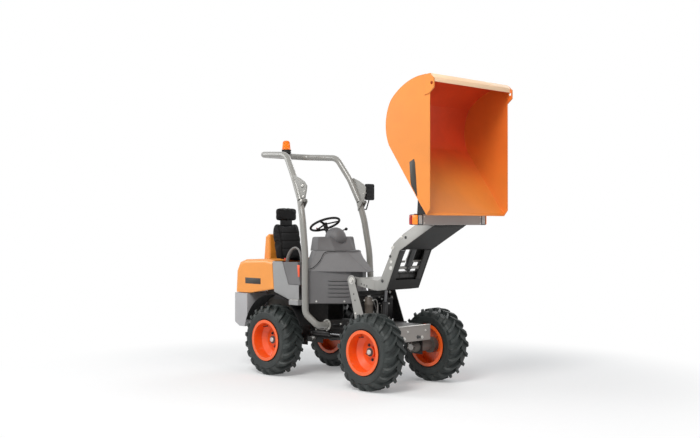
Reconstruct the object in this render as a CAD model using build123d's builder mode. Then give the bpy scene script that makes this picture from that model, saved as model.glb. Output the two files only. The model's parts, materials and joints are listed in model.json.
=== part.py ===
"""High-tip articulated site dumper, in millimetres, +X forward, +Y left, +Z up.

The origin is on the ground in the middle of the machine's box. Outlines are tables of
(x, z) points from a named datum: the articulation pin, the rear axle, the boom hinge or
the skip hinge. Their heights are for tyres of table_tyre_diameter, and other tyres lift
the whole body.
"""

import os
from math import atan2, cos, hypot, radians, sin, sqrt

from build123d import *

# ---------------------------------------------------------------- driving dimensions
wheelbase = 1500
track = 945
tyre_diameter = 760
table_tyre_diameter = 760  # the tyres that the tables' heights are given for
tyre_width = 264
rim_seat_diameter = 389
rim_flange_height = 27
rim_width = 262
pivot_x = -105  # the articulation pin, midway between the axles

running_clearance = 8  # between pieces that move past each other
pin_clearance = 0.5  # a bore's radius over its pin's
seat_gap = 0.3  # between a piece and what carries it

# rear body
rear_overhang = 705  # from the rear axle to the back of the counterweight
body_half_width = 480
counterweight_half_width = 500
arch_clearance = 120  # from the tyres' crown to the wheel arches
bonnet_wall = 5
frame_half_width = 120
frame_plate = 10

# roll-over hoop
hoop_tube_radius = 35
hoop_hinge = (-290, 1890)  # x, z from the articulation pin and the ground
hoop_half_width = 441  # at the fold pins

# front body
front_overhang = 150  # from the front axle to the front plate's face
front_frame_half_width = 200
post_plate = 12
post_to_tyre = 56.5  # from a boom post's outer face to the front tyre
boom_hinge = (275, 1055)  # x, z from the articulation pin and the ground

# boom and skip
boom_to_post = 32  # from the boom's side to the post's inner face
boom_plate = 15
skip_hinge = (915, 830)  # x, z from the boom hinge
skip_half_width = 585
skip_wall = 5
ear_plate = 14
lifting_eye_radius = 16
beam_half_width = 523
beam_size = 100
hinge_pin_radius = 20
cylinder_pin_radius = 14
steer_pin_radius = 10
eye_half_width = 22
cheek_plate = 14
cheek_inner_y = 46

# cylinder pins
lift_base_pin = (450, 480)  # x, z from the articulation pin and the ground
lift_rod_pin = (225, -45)  # x, z from the boom hinge
tip_base_pin = (522, 145)  # x, z from the boom hinge
tip_rod_pin = (15, 199)  # x, z from the skip hinge
steer_base_pin = (-420, -210)  # x, y from the articulation pin
steer_rod_pin = (75, -150)  # x, y from the articulation pin
steer_z = 468

# strokes from the pose shown to the other end of each cylinder's travel
lift_stroke = 140
tip_stroke = 357
steer_stroke = 100

# ---------------------------------------------------------------- datums
rise = tyre_diameter - table_tyre_diameter  # how far the tyres lift the body
axle_z = tyre_diameter / 2
hub_z = axle_z - rise  # the axles' height as the tables count it
arch_radius = tyre_diameter / 2 + arch_clearance
rear_axle = -wheelbase / 2  # x from the articulation pin
front_axle = wheelbase / 2
tyre_inner_y = track / 2 - tyre_width / 2
post_inner_y = tyre_inner_y - post_to_tyre - post_plate
boom_half_width = post_inner_y - boom_to_post


def shifted(origin, point):
    """The (x, z) place of a point that is given from an origin."""
    return (origin[0] + point[0], origin[1] + point[1])


PIN = (pivot_x, rise)
REAR = (pivot_x + rear_axle, rise)
FRONT = (pivot_x + front_axle, rise)
REAR_HUB = (pivot_x + rear_axle, axle_z)
FRONT_HUB = (pivot_x + front_axle, axle_z)
BOOM = shifted(PIN, boom_hinge)
SKIP = shifted(BOOM, skip_hinge)
LIFT_BASE = shifted(PIN, lift_base_pin)
LIFT_ROD = shifted(BOOM, lift_rod_pin)
TIP_BASE = shifted(BOOM, tip_base_pin)
TIP_ROD = shifted(SKIP, tip_rod_pin)
FOLD = shifted(PIN, hoop_hinge)
LEFT = (0, 1, 0)  # the way every upright outline is extruded

os.makedirs("parts", exist_ok=True)


# ---------------------------------------------------------------- helpers
def upright(y, points, origin=PIN):
    """A closed outline of (x, z) points from an origin, on the upright plane at y."""
    with BuildSketch(Plane((0, y, 0), x_dir=(1, 0, 0), z_dir=(0, -1, 0))) as outline:
        with BuildLine():
            Polyline(*[shifted(origin, point) for point in points], close=True)
        make_face()
    return outline.sketch


def flat(z, points, origin=PIN):
    """A closed outline of (x, y) points from an origin, on a level plane."""
    with BuildSketch(Plane.XY.offset(origin[1] + z)) as outline:
        with BuildLine():
            Polyline(*[(origin[0] + x, y) for x, y in points], close=True)
        make_face()
    return outline.sketch


def plate(y_low, y_high, points, origin=PIN, mode=Mode.ADD):
    """An upright outline, given thickness across the machine."""
    extrude(upright(y_low, points, origin), amount=y_high - y_low, dir=LEFT, mode=mode)


def bar(centre, y_low, y_high, radius, mode=Mode.ADD):
    """A round bar across the machine, about an (x, z) place."""
    with Locations((centre[0], (y_low + y_high) / 2, centre[1])):
        Cylinder(radius, y_high - y_low, rotation=(90, 0, 0), mode=mode)


def stub(x, y, z_low, z_high, radius, origin=PIN, mode=Mode.ADD):
    """A round upright bar about (x, y) from an origin."""
    with Locations((origin[0] + x, y, origin[1] + (z_low + z_high) / 2)):
        Cylinder(radius, z_high - z_low, mode=mode)


def block(x_span, y_span, z_span, origin=PIN, mode=Mode.ADD):
    """A box between two corners, x and z measured from an origin."""
    middle = [(low + high) / 2 for low, high in (x_span, y_span, z_span)]
    with Locations((origin[0] + middle[0], middle[1], origin[1] + middle[2])):
        Box(*[high - low for low, high in (x_span, y_span, z_span)], mode=mode)


def across(half_width):
    """The span from one side of the machine to the other."""
    return (-half_width, half_width)


def both_sides(plan):
    """A plan's left half, given from back to front, closed with its mirror image."""
    return plan + [(x, -y) for x, y in reversed(plan)]


def save(piece, name):
    """Labels a finished piece and writes it as its own file."""
    piece.part.label = name
    export_step(piece.part, f"parts/{name}.step")


# ---------------------------------------------------------------- wheels
WHEELS = [  # name, hub, side
    ("front_left", FRONT_HUB, 1),
    ("front_right", FRONT_HUB, -1),
    ("rear_left", REAR_HUB, 1),
    ("rear_right", REAR_HUB, -1),
]
tyre_radius = tyre_diameter / 2
seat_radius = rim_seat_diameter / 2
flange_radius = seat_radius + rim_flange_height
flange_lip = 7
bead_overlap = 4  # how far the tyre's bead stands in from the flange's edge
tyre_shoulder = 42  # how far the crown's corners stand in from the full radius
shoulder_inset = 8
crown_inset = 30
crown_drop = 12
hub_radius = 52
hub_height = 38
well_wall = 6
well_taper = 60
motor_radius = 55
motor_flange_radius = 82
motor_flange_depth = 60
disc_offset = 20  # the wheel disc's outer face, inboard of the tyre's middle
disc_plate = 10
bead_half_width = rim_width / 2 - flange_lip - 2

for name, hub, side in WHEELS:
    wheel_y = side * track / 2
    hub_place = (hub[0], wheel_y, hub[1])
    section_plane = Plane(hub_place, x_dir=(0, side, 0), z_dir=(1, 0, 0))
    # (distance from the tyre's middle, radius) of half the tyre's section
    tyre_half = [
        (bead_half_width, seat_radius + seat_gap),
        (bead_half_width, flange_radius - bead_overlap),
        (tyre_width / 2, (flange_radius + tyre_radius) / 2),
        (tyre_width / 2 - shoulder_inset, tyre_radius - tyre_shoulder),
        (tyre_width / 2 - crown_inset, tyre_radius - crown_drop),
        (0, tyre_radius),
    ]
    section = tyre_half + [(-w, r) for w, r in reversed(tyre_half[:-1])]
    with BuildPart() as tyre:
        with BuildSketch(section_plane):
            with BuildLine():
                Polyline(*[(w, side * r) for w, r in section], close=True)
            make_face()
        revolve(axis=Axis(hub_place, LEFT))
    save(tyre, f"tyre_{name}")

    # (distance from the tyre's middle, radius) of the rim's outside, then its inside
    rim_section = [
        (rim_width / 2, seat_radius - well_wall),
        (rim_width / 2, flange_radius),
        (rim_width / 2 - flange_lip, flange_radius),
        (rim_width / 2 - flange_lip, seat_radius),
        (flange_lip - rim_width / 2, seat_radius),
        (flange_lip - rim_width / 2, flange_radius),
        (-rim_width / 2, flange_radius),
        (-rim_width / 2, seat_radius - well_wall),
        (-disc_offset - disc_plate, seat_radius - well_wall),
        (-disc_offset - disc_plate, 0),
        (-disc_offset, 0),
        (-disc_offset, seat_radius - well_taper),
        (disc_offset, seat_radius - well_wall),
    ]
    with BuildPart() as rim:
        with BuildSketch(section_plane):
            with BuildLine():
                Polyline(*[(w, side * r) for w, r in rim_section], close=True)
            make_face()
        revolve(axis=Axis(hub_place, LEFT))
        hub_faces = sorted(wheel_y - side * offset for offset in (disc_offset + 1, disc_offset - hub_height))
        bar(hub, *hub_faces, hub_radius)
    save(rim, f"rim_{name}")

# ---------------------------------------------------------------- wheel motors
motor_end_y = track / 2 - disc_offset - disc_plate - seat_gap
motor_start_y = 105
for name, hub in (("front_wheel_motors", FRONT_HUB), ("rear_wheel_motors", REAR_HUB)):
    with BuildPart() as motors:
        bar(hub, motor_start_y, motor_end_y, motor_radius)
        bar(hub, motor_end_y - motor_flange_depth, motor_end_y, motor_flange_radius)
        mirror(about=Plane.XZ)
    save(motors, name)

# ---------------------------------------------------------------- rear frame
frame_bottom_z = 405
frame_top_z = 600
motor_lobe = 75  # how far the plates reach round a motor's centre
motor_hole = motor_radius + seat_gap
yoke_radius = 48
yoke_plate = 25
yoke_back_x = -200
yoke_low_z = 420
yoke_high_z = 540
pivot_pin_radius = 22
pivot_pin_end = 12
bracket_half_width = 262  # the outer faces of the brackets that carry the hoop
bracket_x = (-150, -70)
bracket_z = (535, 609)
saddle_back_x = -260
frame_back_x = -rear_overhang + 30  # from the rear axle
steer_lug_z = ((steer_z - 47, steer_z - 32), (steer_z + 32, steer_z + 47))
frame_end = rear_axle + frame_back_x
tail_front_x = rear_axle - 440  # behind here the frame is shallow, inside the counterweight
tail_bottom_z = 495
with BuildPart() as rear_frame:
    for y in (-frame_half_width, frame_half_width - frame_plate):
        side_span = (y, y + frame_plate)
        block((frame_end, yoke_back_x), side_span, (frame_bottom_z, frame_top_z))
        block((-2 * motor_lobe, 2 * motor_lobe), side_span, (hub_z - motor_lobe, frame_bottom_z), REAR)
    for x in (frame_end, rear_axle + 110, yoke_back_x - frame_plate):
        block((x, x + frame_plate), across(frame_half_width), (frame_bottom_z, frame_top_z))
    block((frame_end - 1, tail_front_x), across(frame_half_width + 1), (frame_bottom_z - 1, tail_bottom_z),
          mode=Mode.SUBTRACT)
    yoke_plan = [(yoke_back_x, frame_half_width), (0, yoke_radius)]
    for z in (yoke_low_z, yoke_high_z):
        extrude(flat(z, both_sides(yoke_plan)), amount=-yoke_plate)
        stub(0, 0, z - yoke_plate, z, yoke_radius)
    stub(0, 0, yoke_low_z - yoke_plate - pivot_pin_end, yoke_high_z + pivot_pin_end, pivot_pin_radius)
    bar(REAR_HUB, *across(frame_half_width + 1), motor_hole, Mode.SUBTRACT)
    for side in (-1, 1):
        reach = sorted((side * (frame_half_width - 1), side * bracket_half_width))
        block(bracket_x, reach, bracket_z)
    block((saddle_back_x, yoke_back_x), across(frame_half_width), (yoke_high_z, frame_top_z))
    block((yoke_back_x - 30, bracket_x[1]), across(frame_half_width), (yoke_high_z, bracket_z[1]))
    for lug_span in steer_lug_z:
        block((steer_base_pin[0] - 30, steer_base_pin[0] + 30),
              (steer_base_pin[1] - 25, -frame_half_width), lug_span)
    stub(*steer_base_pin, steer_lug_z[0][0], steer_lug_z[1][1], steer_pin_radius)
save(rear_frame, "rear_frame")

# ---------------------------------------------------------------- counterweight
bonnet_bottom_z = 871
counterweight_top_z = bonnet_bottom_z - running_clearance
counterweight_front_x = -440  # from the rear axle
counterweight_outline = [  # x, z from the rear axle and the ground
    (-rear_overhang, counterweight_top_z),
    (-rear_overhang, 600),
    (-rear_overhang + 45, 530),
    (-580, 490),
    (counterweight_front_x, 490),
    (counterweight_front_x, counterweight_top_z),
]
bonnet_back_x = -rear_overhang + 15  # from the rear axle
knuckle_radius = 7
knuckle_length = 100
knuckle_y = (-240, 140)  # where each knuckle starts
bonnet_hinge = (bonnet_back_x - knuckle_radius - 0.5, bonnet_bottom_z)
arch_inner_y = 240
tow_pin_x = -650  # from the rear axle
tow_pin_radius = 13
tow_bore_top_z = 780
tow_slot_z = (680, 740)
tow_slot_half_width = 60
corner_radius = 60
with BuildPart() as counterweight:
    plate(*across(counterweight_half_width), counterweight_outline, REAR)
    fillet(counterweight.edges().filter_by(Axis.Z).group_by(Axis.X)[0], corner_radius)
    for side in (-1, 1):
        reach = sorted((side * arch_inner_y, side * (counterweight_half_width + 1)))
        bar(REAR_HUB, *reach, arch_radius, Mode.SUBTRACT)
    block((frame_back_x, counterweight_front_x + 1), across(frame_half_width), (480, frame_top_z),
          REAR, Mode.SUBTRACT)
    for low in knuckle_y:
        bar(shifted(REAR, bonnet_hinge), low, low + knuckle_length, knuckle_radius)
        block((bonnet_hinge[0] - 6, bonnet_hinge[0] + 6), (low, low + knuckle_length),
              (counterweight_top_z - 1, bonnet_hinge[1] - 2), REAR)
    block((-rear_overhang - 1, tow_pin_x + 40), across(tow_slot_half_width), tow_slot_z, REAR,
          Mode.SUBTRACT)
    stub(tow_pin_x, 0, frame_top_z - 1, tow_bore_top_z, tow_pin_radius, REAR, Mode.SUBTRACT)
save(counterweight, "counterweight")

# ---------------------------------------------------------------- engine
engine_x = (counterweight_front_x + 10, -10)  # from the rear axle
engine_half_width = 210
engine_top_z = 980
with BuildPart() as engine:
    block(engine_x, across(engine_half_width), (frame_top_z, engine_top_z), REAR)
save(engine, "engine")

# ---------------------------------------------------------------- rear fenders
fender_sheet = 5
fender_inner_y = 320
fender_angles = (22, 158)  # from the front end to the rear end, about the axle
fender_radii = (arch_radius - seat_gap, arch_radius - seat_gap - fender_sheet)
with BuildPart() as rear_fenders:
    fender_plane = Plane((REAR_HUB[0], fender_inner_y, REAR_HUB[1]), x_dir=(1, 0, 0), z_dir=(0, -1, 0))
    with BuildSketch(fender_plane):
        with BuildLine():
            for radius in fender_radii:
                CenterArc((0, 0), radius, fender_angles[0], fender_angles[1] - fender_angles[0])
            for angle in fender_angles:
                heading = (cos(radians(angle)), sin(radians(angle)))
                Line(*[(radius * heading[0], radius * heading[1]) for radius in fender_radii])
        make_face()
    extrude(amount=counterweight_half_width - fender_inner_y, dir=LEFT)
    mirror(about=Plane.XZ)
save(rear_fenders, "rear_fenders")

# ---------------------------------------------------------------- floor and steps
floor_z = 800
floor_sheet = 8
step_half_width = 520
step_top_z = 832
step_height = 52
step_inner_y = 430
step_front_x = -300
console_back_x = -296
step_drop = step_top_z - step_height - hub_z
# where a step's bottom edge clears the wheel arch
step_back_x = rear_axle + sqrt(arch_radius ** 2 - step_drop ** 2) + 5
floor_back_x = rear_axle + 150
floor_plan = [  # x, y
    (floor_back_x, 300),
    (step_back_x, 300),
    (step_back_x, step_inner_y),
    (-250, step_inner_y),
    (60, 120),
]
with BuildPart() as floor_deck:
    extrude(flat(floor_z - floor_sheet, both_sides(floor_plan)), amount=floor_sheet)
    for y in (-frame_half_width, frame_half_width - floor_sheet):
        block((floor_back_x, yoke_back_x - 70), (y, y + floor_sheet),
              (frame_top_z + seat_gap, floor_z - floor_sheet))
save(floor_deck, "floor_deck")

with BuildPart() as side_steps:
    block((step_back_x, step_front_x), (step_inner_y + seat_gap, step_half_width),
          (step_top_z - step_height, step_top_z))
    mirror(about=Plane.XZ)
save(side_steps, "side_steps")

# ---------------------------------------------------------------- side panels
panel_sheet = 5
sill_z = step_top_z + seat_gap
side_panel_outline = [  # x, z of the light panel between bonnet and seat
    (rear_axle - 18, 1236),
    (rear_axle + 145, 1236),
    (rear_axle + 250, 990),
    (console_back_x - 34, 990),
    (console_back_x - 34, sill_z),
    (rear_axle + 250, sill_z),
    (rear_axle + 9, 905),
]
panel_inner_y = body_half_width - panel_sheet
with BuildPart() as side_panels:
    plate(panel_inner_y, body_half_width, side_panel_outline)
    bar(REAR_HUB, panel_inner_y - 1, body_half_width + 1, arch_radius, Mode.SUBTRACT)
    mirror(about=Plane.XZ)
save(side_panels, "side_panels")

side_box_outline = [  # x, z
    (rear_axle + 147, 1230),
    (console_back_x - 61, 1236),
    (console_back_x - 16, 992),
    (rear_axle + 250, 992),
]
side_box_depth = 55
with BuildPart() as side_boxes:
    plate(panel_inner_y - seat_gap - side_box_depth, panel_inner_y - seat_gap, side_box_outline)
    mirror(about=Plane.XZ)
save(side_boxes, "side_boxes")

# ---------------------------------------------------------------- seat
seat_base_x = (-260, 230)  # from the rear axle, as the whole seat is
seat_base_half_width = 260
seat_base_top_z = 1085
seat_base_wall = 5
cushion_top_z = 1205
seat_back_half_width = 210
with BuildPart() as seat_base:
    block(seat_base_x, across(seat_base_half_width), (floor_z, seat_base_top_z), REAR)
    block((seat_base_x[0] - 1, seat_base_x[1] - seat_base_wall),
          across(seat_base_half_width - seat_base_wall),
          (floor_z - 1, seat_base_top_z - seat_base_wall), REAR, Mode.SUBTRACT)
save(seat_base, "seat_base")

with BuildPart() as seat_cushion:
    block((-340, 150), across(235), (seat_base_top_z + seat_gap, cushion_top_z), REAR)
    fillet(seat_cushion.edges().filter_by(Axis.Z), 60)
save(seat_cushion, "seat_cushion")

seat_back_outline = [  # x, z from the rear axle and the ground
    (-340, cushion_top_z + seat_gap),
    (-235, cushion_top_z + seat_gap),
    (-290, 1560),
    (-325, 1660),
    (-390, 1660),
    (-410, 1560),
]
with BuildPart() as seat_back:
    plate(*across(seat_back_half_width), seat_back_outline, REAR)
save(seat_back, "seat_back")

with BuildPart() as headrest:
    block((-385, -325), across(138), (1680, 1827), REAR)
    for y in (-60, 60):
        stub(-355, y, 1660 + seat_gap, 1681, 6, REAR)
save(headrest, "headrest")

# ---------------------------------------------------------------- console
console_low_z = floor_z + seat_gap
console_crease_z = 1137
console_plan = [(console_back_x, 440), (-240, 440), (90, 115), (150, 1)]  # x, y
console_wall = 6
leg_room_x = (console_back_x - 1, -110)
leg_room_half_width = 300
with BuildPart() as console_lower:
    extrude(flat(console_low_z, both_sides(console_plan)), amount=console_crease_z - console_low_z)
    block(leg_room_x, across(leg_room_half_width), (console_low_z - 1, console_crease_z - console_wall),
          mode=Mode.SUBTRACT)
save(console_lower, "console_lower")

hood_low_plan = [(console_back_x, 430), (-240, 430), (80, 170), (275, 45)]  # x, y at the crease
hood_high_plan = [(console_back_x, 330), (-230, 320), (-60, 170), (-10, 90)]  # x, y at the seam
hood_high_z = 1356
tower_low_plan = [(-345, 300), (-250, 290), (-125, 140)]  # x, y at the seam
tower_high_plan = [(-345, 270), (-260, 260), (-215, 140)]  # x, y at the dash
dash_z = 1505
dash_rounding = 18
with BuildPart() as console_hood:
    loft([flat(console_crease_z + seat_gap, both_sides(hood_low_plan)).face(),
          flat(hood_high_z, both_sides(hood_high_plan)).face()], ruled=True)
save(console_hood, "console_hood")

cowl_radius = 116
cowl_centre = (-270, 1490)  # x, z; the cowl sits in a pocket of the tower
with BuildPart() as console_tower:
    loft([flat(hood_high_z + seat_gap, both_sides(tower_low_plan)).face(),
          flat(dash_z, both_sides(tower_high_plan)).face()], ruled=True)
    fillet(console_tower.faces().sort_by(Axis.Z)[-1].edges(), dash_rounding)
    with Locations((PIN[0] + cowl_centre[0], 0, PIN[1] + cowl_centre[1])):
        Sphere(cowl_radius + seat_gap, mode=Mode.SUBTRACT)
save(console_tower, "console_tower")

# ---------------------------------------------------------------- steering
wheel_centre = (-441, 1640)  # x, z of the steering wheel
column_foot = (-375, 1498.5)
column_lean = atan2(wheel_centre[1] - column_foot[1], wheel_centre[0] - column_foot[0])
column_axis = (cos(column_lean), 0, sin(column_lean))
steering_wheel_radius = 165
steering_rim_radius = 13
spoke_count = 3
spoke_size = (26, 8)
steering_hub_radius = 24
column_radius = 20
hub_depth = 45
column_end = 195  # how far below the steering wheel the column ends, inside the cowl
wheel_place = shifted(PIN, wheel_centre)
hub_plane = Plane((wheel_place[0], 0, wheel_place[1]), x_dir=(0, 1, 0), z_dir=column_axis)
with BuildPart() as column_cowl:
    with Locations((PIN[0] + cowl_centre[0], 0, PIN[1] + cowl_centre[1])):
        Sphere(cowl_radius)
    with BuildSketch(hub_plane):
        Circle(column_radius + seat_gap)
    extrude(amount=-column_end, mode=Mode.SUBTRACT)
save(column_cowl, "column_cowl")

with BuildPart() as steering_wheel:
    with BuildSketch(hub_plane.offset(-hub_depth)):
        Circle(steering_hub_radius)
    extrude(amount=hub_depth + 5)
    with Locations(hub_plane):
        Torus(steering_wheel_radius, steering_rim_radius)
    with Locations(hub_plane):
        with PolarLocations(steering_wheel_radius / 2, spoke_count, start_angle=90):
            Box(steering_wheel_radius, *spoke_size)
save(steering_wheel, "steering_wheel")

with BuildPart() as steering_column:
    with BuildSketch(hub_plane.offset(-hub_depth - seat_gap)):
        Circle(column_radius)
    extrude(amount=hub_depth + 1 - column_end)
save(steering_column, "steering_column")

# ---------------------------------------------------------------- roll-over hoop
gusset_plate = 6
gusset_offset = hoop_tube_radius + 2
fold_pin_radius = 9
fold_lug_half = 6
tube_gap = 6  # half the gap between the two tubes at the fold
# (x, y, z) of one upright, from its foot bracket to the fold
upright_path = [
    (-120, bracket_half_width + seat_gap, 572),
    (-120, 400, 572),
    (-205, 498, 700),
    (-228, 480, 1330),
    (-290, 460, 1690),
    (hoop_hinge[0] - 57, hoop_half_width + 1, hoop_hinge[1] - tube_gap),
]
upright_bends = [90, 120, 900, 900]
hoop_top_z = 2430
# (x, y, z) of half the hoop, from the fold to its middle
hoop_path = [
    (hoop_hinge[0] - 58, hoop_half_width, hoop_hinge[1] + tube_gap),
    (hoop_hinge[0] - 190, hoop_half_width - 23, hoop_hinge[1] + 260),
    (rear_axle + 95, 378, hoop_top_z - 30),
    (rear_axle - 400, 340, hoop_top_z),
]
hoop_bends = [400, 150, 110]
gusset_outline = [  # x, z from the fold pin
    (-45, -100),
    (-10, -50),
    (18, -10),
    (10, 18),
    (-10, 18),
    (-55, -14),
]
with BuildPart() as rops_uprights:
    with BuildLine() as path:
        FilletPolyline(*[(PIN[0] + x, y, PIN[1] + z) for x, y, z in upright_path], radius=upright_bends)
    with BuildSketch(Plane(path.wire() @ 0, z_dir=path.wire() % 0)):
        Circle(hoop_tube_radius)
    sweep(path=path.wire())
    for low in (hoop_half_width - gusset_offset, hoop_half_width + gusset_offset - gusset_plate):
        plate(low, low + gusset_plate, gusset_outline, FOLD)
    bar(FOLD, hoop_half_width - gusset_offset - 4, hoop_half_width + gusset_offset + 4, fold_pin_radius)
    mirror(about=Plane.XZ)
save(rops_uprights, "rops_uprights")

fold_lug_outline = [  # x, z from the fold pin
    (-40, 15),
    (-14, 3),
    (-13, -14),
    (12, -14),
    (16, 2),
    (24, 52),
    (40, 104),
    (48, 160),
    (5, 205),
    (-60, 240),
    (-150, 275),
    (-190, 262),
    (-110, 120),
]
with BuildPart() as rops_hoop:
    half_path = [(PIN[0] + x, y, PIN[1] + z) for x, y, z in hoop_path]
    with BuildLine() as path:
        FilletPolyline(*half_path, *[(x, -y, z) for x, y, z in reversed(half_path)],
                       radius=hoop_bends + hoop_bends[::-1])
    with BuildSketch(Plane(path.wire() @ 0, z_dir=path.wire() % 0)):
        Circle(hoop_tube_radius)
    sweep(path=path.wire())
    for middle in across(hoop_half_width):
        plate(middle - fold_lug_half, middle + fold_lug_half, fold_lug_outline, FOLD)
        bar(FOLD, middle - fold_lug_half, middle + fold_lug_half, fold_pin_radius + pin_clearance,
            Mode.SUBTRACT)
save(rops_hoop, "rops_hoop")

# ---------------------------------------------------------------- beacon and mirror
beacon_x = rear_axle - 400
beacon_y = 40
beacon_base_height = 34
beacon_height = 112
beacon_seat_z = hoop_top_z + hoop_tube_radius + seat_gap
beacon_lens_z = beacon_seat_z + beacon_base_height + seat_gap
with BuildPart() as beacon_base:
    with BuildSketch(Plane((PIN[0] + beacon_x, beacon_y, PIN[1] + beacon_seat_z))):
        Circle(58)
    extrude(amount=beacon_base_height, taper=12)
save(beacon_base, "beacon_base")

with BuildPart() as beacon_lens:
    with BuildSketch(Plane((PIN[0] + beacon_x, beacon_y, PIN[1] + beacon_lens_z))):
        Circle(50)
    extrude(amount=beacon_height, taper=5)
    fillet(beacon_lens.edges().sort_by(Axis.Z)[-1], 16)
save(beacon_lens, "beacon_lens")

mirror_centre = (-290, 545, 2005)
mirror_half_size = (18, 60, 92)
mirror_arm_path = [  # x, y, z
    (-325, 450 + hoop_tube_radius + seat_gap, 1810),
    (-325, 530, 1810),
    (-295, 545, 1925),
]
with BuildPart() as mirror_housing:
    block(*[(centre - half, centre + half) for centre, half in zip(mirror_centre, mirror_half_size)])
    fillet(mirror_housing.edges().filter_by(Axis.X), 20)
    with BuildLine() as arm:
        Polyline(*[(PIN[0] + x, y, PIN[1] + z) for x, y, z in mirror_arm_path])
    with BuildSketch(Plane(arm.wire() @ 0, z_dir=arm.wire() % 0)):
        Circle(7)
    sweep(path=arm.wire(), transition=Transition.ROUND)
save(mirror_housing, "mirror_housing")

# ---------------------------------------------------------------- bonnet
bonnet_top_z = 1245
bonnet_crown_z = 1258
hump_half_width = 185
shoulder_rounding = 45
hump_rounding = 22
bonnet_outline = [  # x, z of the shell seen from the side, from the rear axle and the ground
    (bonnet_back_x, bonnet_bottom_z),
    (bonnet_back_x + 16, 1120),
    (bonnet_back_x + 74, 1215),
    (-520, bonnet_top_z),
    (-150, bonnet_crown_z),
    (-26, 1240),
    (4, 905),
    (-230, bonnet_bottom_z),
]
hump_outline = [  # x, z of the raised part behind the seat, from the rear axle and the ground
    (-545, 1180),
    (-510, 1500),
    (-460, 1530),
    (-430, 1520),
    (-420, 1180),
]
bonnet_inside = [  # the space under the shell, open below and in front
    (bonnet_back_x + bonnet_wall, bonnet_bottom_z - 1),
    (bonnet_back_x + 16 + bonnet_wall, 1118),
    (bonnet_back_x + 74 + bonnet_wall, 1215 - bonnet_wall),
    (-520, bonnet_top_z - bonnet_wall),
    (-150, bonnet_crown_z - bonnet_wall),
    (10, 1240 - bonnet_wall),
    (10, bonnet_bottom_z - 1),
]
hump_inside = [
    (-539, 1171),
    (-504, 1494),
    (-458, 1524),
    (-436, 1514),
    (-426, 1171),
]
seat_well_half_width = 268
seat_well_back_x = -425  # from the rear axle


def shoulders(piece, half_width, low_z):
    """The edges where a shell's sides meet its back and its top, above a height."""
    return [
        edge
        for edge in piece.edges()
        if abs(abs(edge.center().Y) - half_width) < 0.01
        and edge.center().Z > PIN[1] + low_z
        and edge.center().X < REAR[0] - 50
    ]


with BuildPart() as bonnet_space:
    plate(*across(body_half_width - bonnet_wall), bonnet_inside, REAR)
    fillet(shoulders(bonnet_space, body_half_width - bonnet_wall, bonnet_bottom_z + 1),
           shoulder_rounding - bonnet_wall)
with BuildPart() as hump_space:
    plate(*across(hump_half_width - bonnet_wall), hump_inside, REAR)
    fillet(shoulders(hump_space, hump_half_width - bonnet_wall, bonnet_crown_z),
           hump_rounding - bonnet_wall)
with BuildPart() as hump:
    plate(*across(hump_half_width), hump_outline, REAR)
    fillet(shoulders(hump, hump_half_width, bonnet_crown_z), hump_rounding)
with BuildPart() as bonnet:
    plate(*across(body_half_width), bonnet_outline, REAR)
    fillet(shoulders(bonnet, body_half_width, bonnet_bottom_z + 1), shoulder_rounding)
    add(hump.part)
    add(bonnet_space.part, mode=Mode.SUBTRACT)
    add(hump_space.part, mode=Mode.SUBTRACT)
    block((seat_well_back_x, 50), across(seat_well_half_width), (1200, 1300), REAR, Mode.SUBTRACT)
    bar(REAR_HUB, *across(body_half_width + 1), arch_radius + running_clearance, Mode.SUBTRACT)
save(bonnet, "bonnet")

# ---------------------------------------------------------------- front frame
front_back_x = 120
front_bottom_z = 462
front_top_z = 615
tongue_clearance = 6
tongue_half_width = 90
deck_plate = 12
slot_half_width = 60
slot_x = (370, 530)
outrigger_x = (330, 510)
front_plate_half_width = 235
front_plate_x = (front_overhang - 40 + seat_gap, front_overhang)  # from the front axle
rod_lug_z = ((steer_z - 34, steer_z - 20), (steer_z + 20, steer_z + 34))
frame_front_x = front_axle + front_overhang - 40
deck_z = (front_top_z - deck_plate, front_top_z)
tongue_low = yoke_low_z + tongue_clearance
tongue_high = yoke_high_z - yoke_plate - tongue_clearance
tongue_plan = [(0, yoke_radius), (front_back_x + 1, tongue_half_width)]
with BuildPart() as front_frame:
    for y in (-front_frame_half_width, front_frame_half_width - frame_plate):
        side_span = (y, y + frame_plate)
        block((front_back_x, frame_front_x), side_span, (front_bottom_z, front_top_z))
        block((-motor_lobe, motor_lobe), side_span, (hub_z - motor_lobe, front_bottom_z), FRONT)
    block((front_back_x, front_back_x + frame_plate), across(front_frame_half_width),
          (front_bottom_z - 42, front_top_z))
    block((front_back_x, frame_front_x), across(front_frame_half_width), deck_z)
    block(outrigger_x, across(post_inner_y + post_plate + 16), deck_z)
    block(slot_x, across(slot_half_width), (deck_z[0] - 1, deck_z[1] + 1), mode=Mode.SUBTRACT)
    # the tongue between the rear frame's yoke plates
    extrude(flat(tongue_low, [(x, -y) for x, y in tongue_plan] + tongue_plan[::-1]),
            amount=tongue_high - tongue_low)
    stub(0, 0, tongue_low, tongue_high, yoke_radius)
    stub(0, 0, tongue_low - 1, tongue_high + 1, pivot_pin_radius + pin_clearance, mode=Mode.SUBTRACT)
    bar(FRONT_HUB, *across(front_frame_half_width + 1), motor_hole, Mode.SUBTRACT)
    for lug_span in rod_lug_z:
        block((steer_rod_pin[0] - 26, front_back_x + 1), (steer_rod_pin[1] - 24, steer_rod_pin[1] + 24),
              lug_span)
    bar(LIFT_BASE, *across(front_frame_half_width - 1), cylinder_pin_radius)
save(front_frame, "front_frame")

with BuildPart() as front_plate:
    block(front_plate_x, across(front_plate_half_width), (front_bottom_z - 2, front_top_z), FRONT)
save(front_plate, "front_plate")

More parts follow.
